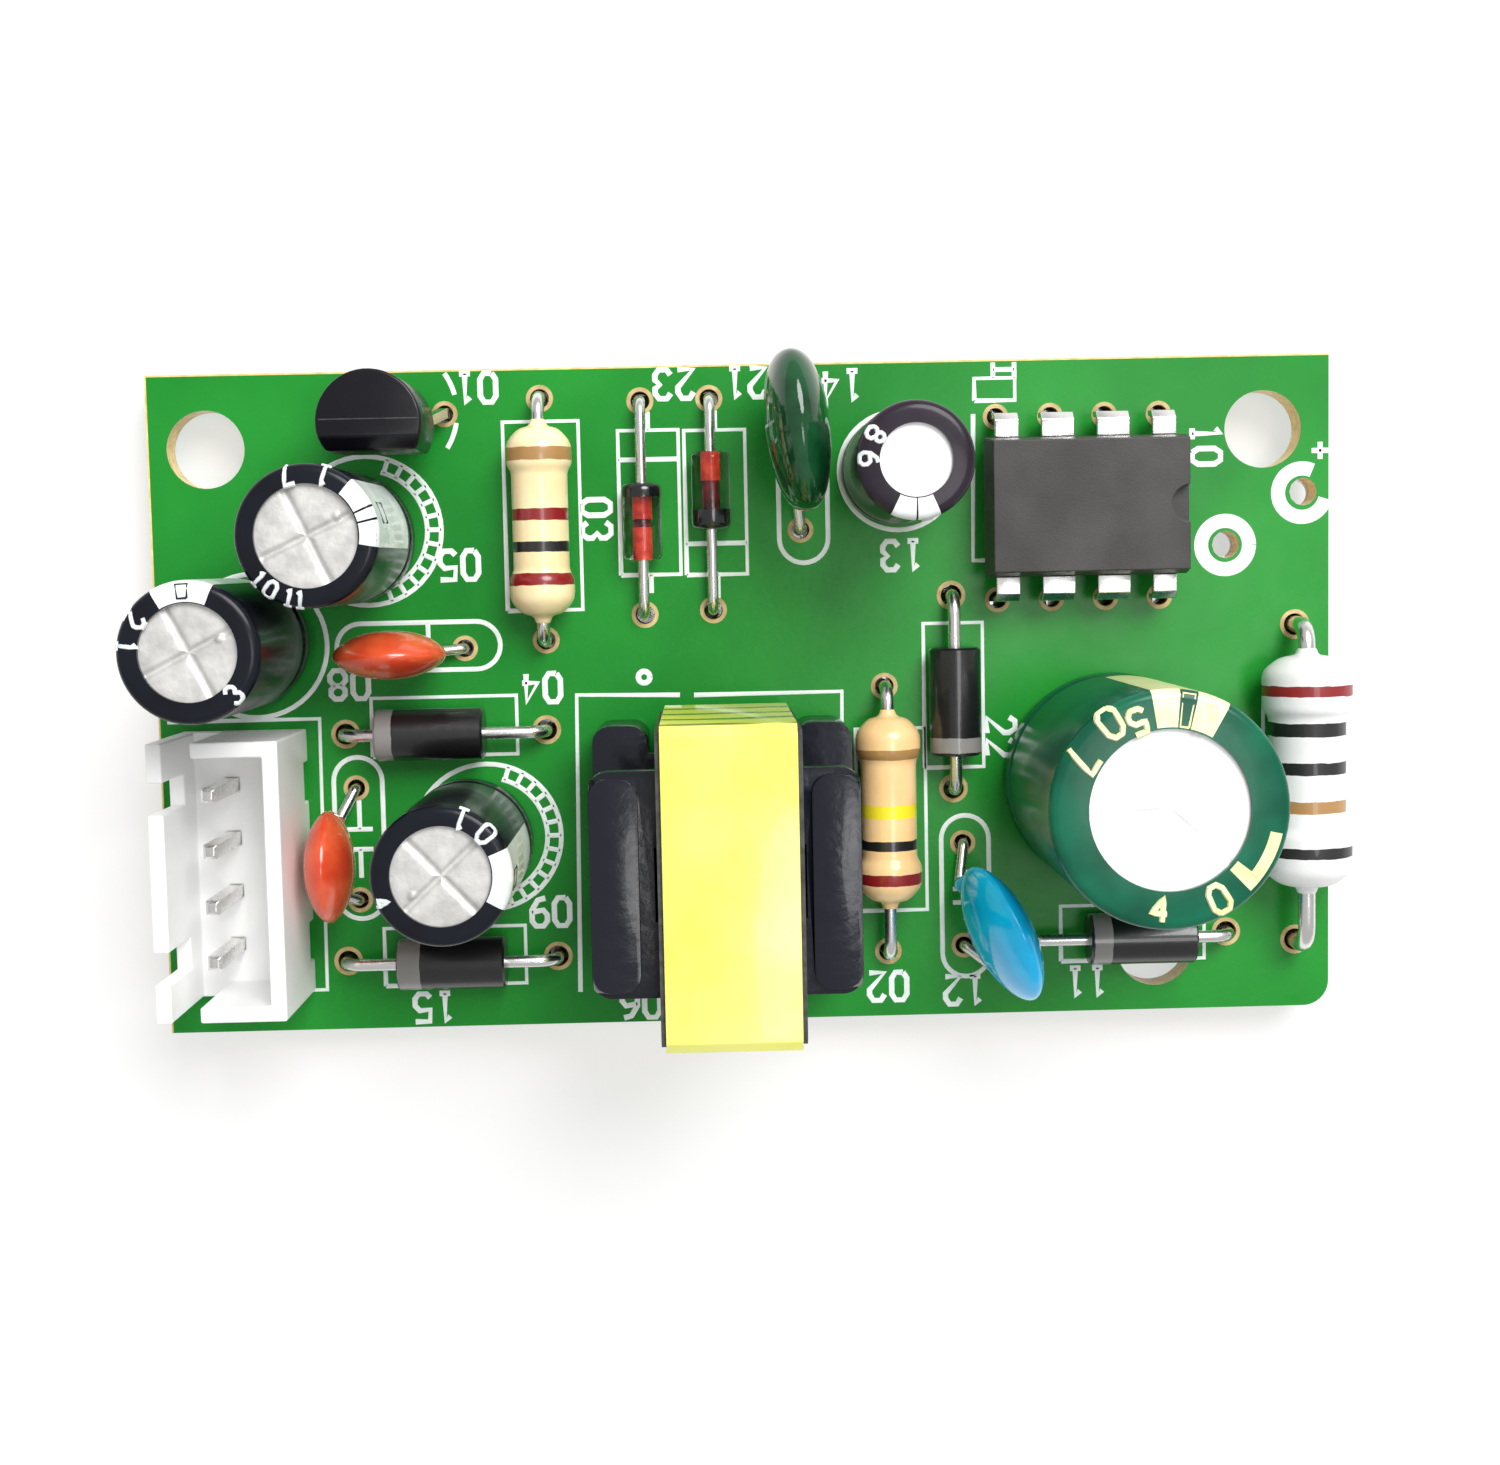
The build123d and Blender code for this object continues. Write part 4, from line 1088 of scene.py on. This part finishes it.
sleeve_white = surface("sleeve print", (0.80, 0.84, 0.85), 0.3, coat=0.3, grain=(0.6, 0.01),
                       tones=((0.68, 0.73, 0.74), (0.88, 0.90, 0.90), 0.8))
sleeve_straw = surface("straw print", (0.93, 0.88, 0.45), 0.3, coat=0.3, grain=(0.6, 0.01),
                       tones=((0.86, 0.80, 0.36), (0.96, 0.93, 0.56), 0.8))
outline_black = surface("outline print", (0.006, 0.006, 0.008), 0.3, grain=(0.5, 0.004))
SIDE = 1.04, 9.4
prints = {
    "output_capacitor": {
        "blocks": [(-10, 12, 0.05, 1.02), (14, 23, 0.05, 1.02), (25, 50, 0.05, 1.02),
                   (-10, 50, *SIDE)],
        "digits": [("7", 105, 0.08, 0.88), ("1", 72, 0.08, 0.88), ("1", -139, 0.2, 0.7),
                   ("0", -125, 0.2, 0.7), ("1", -107, 0.2, 0.7), ("1", -97, 0.2, 0.7)],
        "windows": [(10, 27, 2.3, 3.5)],
    },
    "filter_capacitor": {
        "blocks": [(68, 120, 0.04, 1.02), (68, 120, *SIDE)],
        "digits": [("2", 146, 0.1, 0.85), ("1", 173, 0.1, 0.8), ("3", -44, 0.15, 0.75)],
        "windows": [(88, 98, 0.2, 0.8)],
    },
    "side_capacitor": {
        "blocks": [(-30, 22, 0.04, 1.02), (-30, 22, *SIDE)],
        "digits": [("1", 69, 0.05, 0.9), ("0", 42, 0.1, 0.85), ("4", -157, 0.3, 0.6)],
        "windows": [(-14, 2, 1.5, 2.6)],
    },
    "supply_capacitor": {
        "blocks": [(-116, -91, 0.05, 1.15), (-89, -66, 0.05, 1.15)],
        "digits": [("3", -78, 1.5, 0.7), ("6", 178, 0.12, 0.75), ("8", 148, 0.12, 0.75)],
        "windows": [],
    },
    "mains_capacitor": {
        "blocks": [(85, 99, 0.06, 1.75), (60, 76, 0.06, 1.75), (60, 99, 1.8, 11.5),
                   (-40, -13, 0.85, 1.35), (-46, -38, 0.12, 1.35)],
        "digits": [("7", 149, 0.25, 1.35), ("0", 124, 0.45, 1.25), ("5", 110, 0.1, 1.0),
                   ("0", -62, 0.3, 1.15), ("4", -97, 0.3, 1.0)],
        "windows": [(77.5, 83.5, 0.1, 1.5)],
    },
}
for name, x, y, lift, diameter, height, lip, *_ in cans:
    line, place = sleeve_line(diameter, height, lip), spot(x, y, lift)
    large = name == "mains_capacitor"
    print_ink, frame_ink = (sleeve_straw, sleeve_straw) if large else (sleeve_white, outline_black)
    bm = bmesh.new()
    for patch in prints[name]["blocks"]:
        block(bm, line, place, *patch)
    settle(bm, name + "_blocks", print_ink, "board", crease=40)
    lines = []
    for digit in prints[name]["digits"]:
        lines += digit_lines(line, place, *digit)
    settle(stroked(lines, 0.32 if large else 0.25), name + "_digits", print_ink, "board")
    frames = []
    for start, end, near, far in prints[name]["windows"]:
        corners = frame_of(start, near, end, far)
        frames.append([on_sleeve(line, place, a, d, 0.0) for a, d in corners])
    if frames:
        settle(stroked(frames, 0.12), name + "_window", frame_ink, "board")

# %% [markdown]
# The transistor and the controller are moulded in black epoxy, which is matt with a fine
# grain. The controller's leads are stamped from a strip and folded down, so a rounded copy
# of the solid carries their finish.

# %% Transistor and controller
epoxy = surface("black epoxy", (0.005, 0.005, 0.008), 0.3, shine=0.3,
                grain=(0.12, 0.004), gloss=(0.22, 0.36, 1.0))
grey_epoxy = surface("grey epoxy", (0.05, 0.048, 0.047), 0.5, shine=0.35, grain=(0.1, 0.01),
                     tones=((0.040, 0.038, 0.037), (0.060, 0.058, 0.056), 2.0),
                     gloss=(0.42, 0.58, 1.0))
seam_grey = surface("seam", (0.05, 0.05, 0.055), 0.4,
                    tones=((0.03, 0.03, 0.034), (0.06, 0.06, 0.065), 0.4))
softened("transistor_body", epoxy, "black_moulding", 0.12)
low, high = (corner / MM for corner in map(Vector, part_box("transistor_body")))
seam_y = 0.62 * low.y + 0.38 * high.y - CORNER_Y
seam = [[(low.x - CORNER_X + 0.16, seam_y), (high.x - CORNER_X - 0.16, seam_y)]]
ink_lines("transistor_seam", seam, 0.05, seam_grey, "black_moulding", high.z - BOARD_TOP, 0.02)
softened("controller_body", grey_epoxy, "grey_moulding", 0.06, flat_sided=True)
softened("controller_leads", tin, "tinned_wire", 0.05)
dress("transistor_leads", tin)

# %% [markdown]
# The transformer's bobbin is black phenolic with glossy, softly rounded flanges. Its core
# halves are ground ferrite, held together by a few turns of yellow tape. Tape is glossy,
# and dark lines show where its turns end one over the other.

# %% Transformer
phenolic = surface("bobbin moulding", (0.006, 0.007, 0.014), 0.22, coat=0.2, shine=0.35,
                   grain=(0.7, 0.03), gloss=(0.14, 0.3, 1.0))
ferrite = surface("ferrite", (0.05, 0.05, 0.052), 0.55, grain=(0.15, 0.02),
                  tones=((0.03, 0.03, 0.032), (0.07, 0.07, 0.07), 0.4))


def tape_finish():
    """Yellow tape, with dark lines between its turns on the face that looks along Y."""
    material = surface("yellow tape", (0.93, 0.93, 0.17), 0.2, coat=0.3, grain=(3.0, 0.05))
    plain = blotches(material, 4.0, (0.88, 0.87, 0.12), (0.95, 0.95, 0.20))
    layers = add(material, "ShaderNodeTexWave", Scale=1 / (10.0 * MM), Distortion=2.2, Detail=1.5)
    layers.inputs["Detail Scale"].default_value = 2.5
    layers.bands_direction = "Z"
    join(material, place_of(material), layers.inputs["Vector"])
    gaps = ramp(material, layers.outputs["Fac"], [(0.05, (1, 1, 1)), (0.3, (0, 0, 0))])
    back_face = sum_of(material, "GREATER_THAN", across(material, "Y"), spot(0, 15.1).y)
    between = sum_of(material, "MULTIPLY", gaps, back_face)
    return overlay(material, between, plain, (0.20, 0.21, 0.02))


yellow = tape_finish()
softened("transformer_bobbin", phenolic, "bobbin_plastic", 0.2, corners=0.75)
softened("transformer_core_tape", yellow, "yellow_tape", 0.06)
softened("transformer_winding", yellow, "yellow_tape", 0.1)
for half in ("lower", "upper"):
    dress("transformer_core_" + half, ferrite)
dress("transformer_pins", tin)

# %% [markdown]
# Last of the pieces are the bent wires. Each is given by the points of its run, from the
# part's end to its hole and down through the board. The leaning disc's wires start where
# its lower edge has swung to.

# %% Bent wires
def lying_wires(name, ends, holes, line, height, wire, along):
    """Both wires of a part that lies on the board."""
    bm = bmesh.new()
    for end, hole in zip(ends, holes):
        runs = [(end, height), (hole, height), (hole, -2.8)]
        if along == "x":
            path = [spot(s, line, z) for s, z in runs]
        else:
            path = [spot(line, s, z) for s, z in runs]
        bent_wire(bm, path, wire, 1.3 * wire)
    return settle(bm, name + "_bent", tin, "tinned_wire", [name], crease=50)


lying_wires("start_resistor_leads", (19.35, 28.05), (18.2, 29.4), 18.2, 1.5, 0.6, "y")
lying_wires("bleed_resistor_leads", (5.7, 14.4), (3.1, 15.7), 34.0, 1.5, 0.6, "y")
lying_wires("fusible_resistor_leads", (6.05, 16.85), (3.2, 18.2), 53.4, 2.05, 0.8, "y")
lying_wires("mains_diode_leads", (43.4, 48.2), (40.3, 50.1), 3.65, 1.2, 0.6, "x")
lying_wires("clamp_diode_leads", (12.6, 17.4), (10.8, 19.9), 37.2, 1.2, 0.6, "y")
lying_wires("output_diode_leads", (10.4, 15.2), (8.7, 18.1), 14.0, 1.2, 0.6, "x")
lying_wires("second_output_diode_leads", (11.1, 15.9), (8.45, 18.35), 3.25, 1.2, 0.6, "x")
lying_wires("left_glass_diode_leads", (21.95, 25.25), (19.3, 29.2), 22.85, 0.9, 0.5, "y")
lying_wires("right_glass_diode_leads", (23.35, 26.65), (19.45, 29.25), 26.05, 0.9, 0.5, "y")


def standing_wires(name, feet, holes, lift, wire):
    """Both wires of a dipped part that stands over its holes."""
    bm = bmesh.new()
    for foot, hole in zip(feet, holes):
        path = [spot(*foot, lift + 0.1), spot(*foot, 0.7 * lift),
                spot(*hole, 0.25 * lift), spot(*hole, -2.8)]
        bent_wire(bm, path, wire, 0.3)
    return settle(bm, name + "_bent", tin, "tinned_wire", [name], crease=50)


standing_wires(
    "small_disc_leads", ((8.35, 6.52), (8.35, 9.98)), ((9.1, 6.15), (9.1, 11.45)), 1.0, 0.5)
standing_wires(
    "end_disc_leads", ((9.67, 17.8), (13.13, 17.8)), ((9.3, 17.9), (14.4, 17.9)), 1.0, 0.5)
along = WIRE_APART * LEANING["diameter"]
aside = LEANING["diameter"] / 2 * sin(radians(LEANING["lean"]))
way = towards(LEANING["turn"])
mains_feet = [
    (LEANING["x"] + side * along * way.x - aside * way.y,
     LEANING["y"] + side * along * way.y + aside * way.x)
    for side in (-1, 1)
]
standing_wires("mains_disc_leads", mains_feet, ((37.6, 8.2), (37.6, 3.3)), 1.2, 0.5)
standing_wires(
    "film_capacitor_leads", ((29.95, 25.27), (29.95, 29.53)), ((30.2, 23.1), (30.2, 28.2)),
    1.2, 0.5)

# %% [markdown]
# A photograph of a small part is taken on white paper under soft light. The floor is white
# where the camera and mirror-like surfaces see it, and keeps the part's shadow. One broad
# lamp hangs overhead, and a weaker one fills from the lower side.

# %% Floor and light
def paper_finish():
    """White paper: half lit by the lamps, half at its own white where it is looked at."""
    material = surface("floor paper", (0.95, 0.95, 0.95), 0.8,
                       tones=((0.94, 0.94, 0.94), (0.96, 0.96, 0.96), 60.0))
    path = add(material, "ShaderNodeLightPath").outputs
    seen = sum_of(material, "ADD", path["Is Camera Ray"], path["Is Glossy Ray"])
    seen = sum_of(material, "ADD", seen, path["Is Transmission Ray"])
    share = sum_of(material, "MULTIPLY", seen, 0.55)
    share.node.use_clamp = True
    white = add(material, "ShaderNodeEmission", Color=(1, 1, 1, 1), Strength=1.0)
    blend = add(material, "ShaderNodeMixShader")
    join(material, share, blend.inputs["Fac"])
    join(material, shader_of(material).outputs[0], blend.inputs[1])
    join(material, white.outputs[0], blend.inputs[2])
    join(material, blend.outputs[0], material.node_tree.nodes["Material Output"].inputs["Surface"])
    return material


def floor():
    bm = bmesh.new()
    under = Matrix.Translation((0, 0, -1.25 * MM))
    bmesh.ops.create_grid(bm, x_segments=1, y_segments=1, size=1.5, matrix=under)
    mesh = bpy.data.meshes.new("floor")
    bm.to_mesh(mesh)
    bm.free()
    mesh.materials.append(paper_finish())
    paper = bpy.data.objects.new("floor", mesh)
    bpy.context.scene.collection.objects.link(paper)
    return paper


def lamp(name, place, aim, size, power):
    light = bpy.data.lights.new(name, "AREA")
    light.shape = "DISK"
    light.size = size
    light.energy = power
    holder = bpy.data.objects.new(name, light)
    holder.location = place
    holder.rotation_euler = (Vector(aim) - Vector(place)).to_track_quat("-Z", "Y").to_euler()
    bpy.context.scene.collection.objects.link(holder)
    return holder


floor()
lamp("window", (0.16, 0.26, 0.40), (0, 0, 0), 0.3, 2.6)
lamp("ceiling", (0.12, -0.03, 0.55), (0.01, -0.01, 0), 0.15, 0.34)
world = bpy.data.worlds.new("soft room")
world.use_nodes = True
sky = world.node_tree.nodes["Background"].inputs
sky["Color"].default_value = (1, 1, 1, 1)
sky["Strength"].default_value = 0.56
bpy.context.scene.world = world
bpy.context.scene.view_settings.view_transform = "Standard"

# %% [markdown]
# The camera stands where the photographer's did, about a hand's breadth above the board.
# From so near, the tall parts lean outwards, which is how their heights were measured.

# %% Camera
eye = bpy.data.cameras.new("eye")
eye.sensor_width = 36
eye.lens = 51.09
camera = bpy.data.objects.new("eye", eye)
look = Matrix.Identity(3)
for angle, axis in ((0.0796, "X"), (0.0203, "Y"), (0.0208, "Z")):
    look = look @ Matrix.Rotation(angle, 3, axis)
stand = Matrix.Translation((-0.0015182, -0.0056918, 0.1014118))
camera.matrix_world = stand @ look.transposed().to_4x4()
eye.clip_start = 0.005
bpy.context.scene.collection.objects.link(camera)
bpy.context.scene.camera = camera
print("camera height in mm:", round(camera.matrix_world.translation.z / MM, 1))
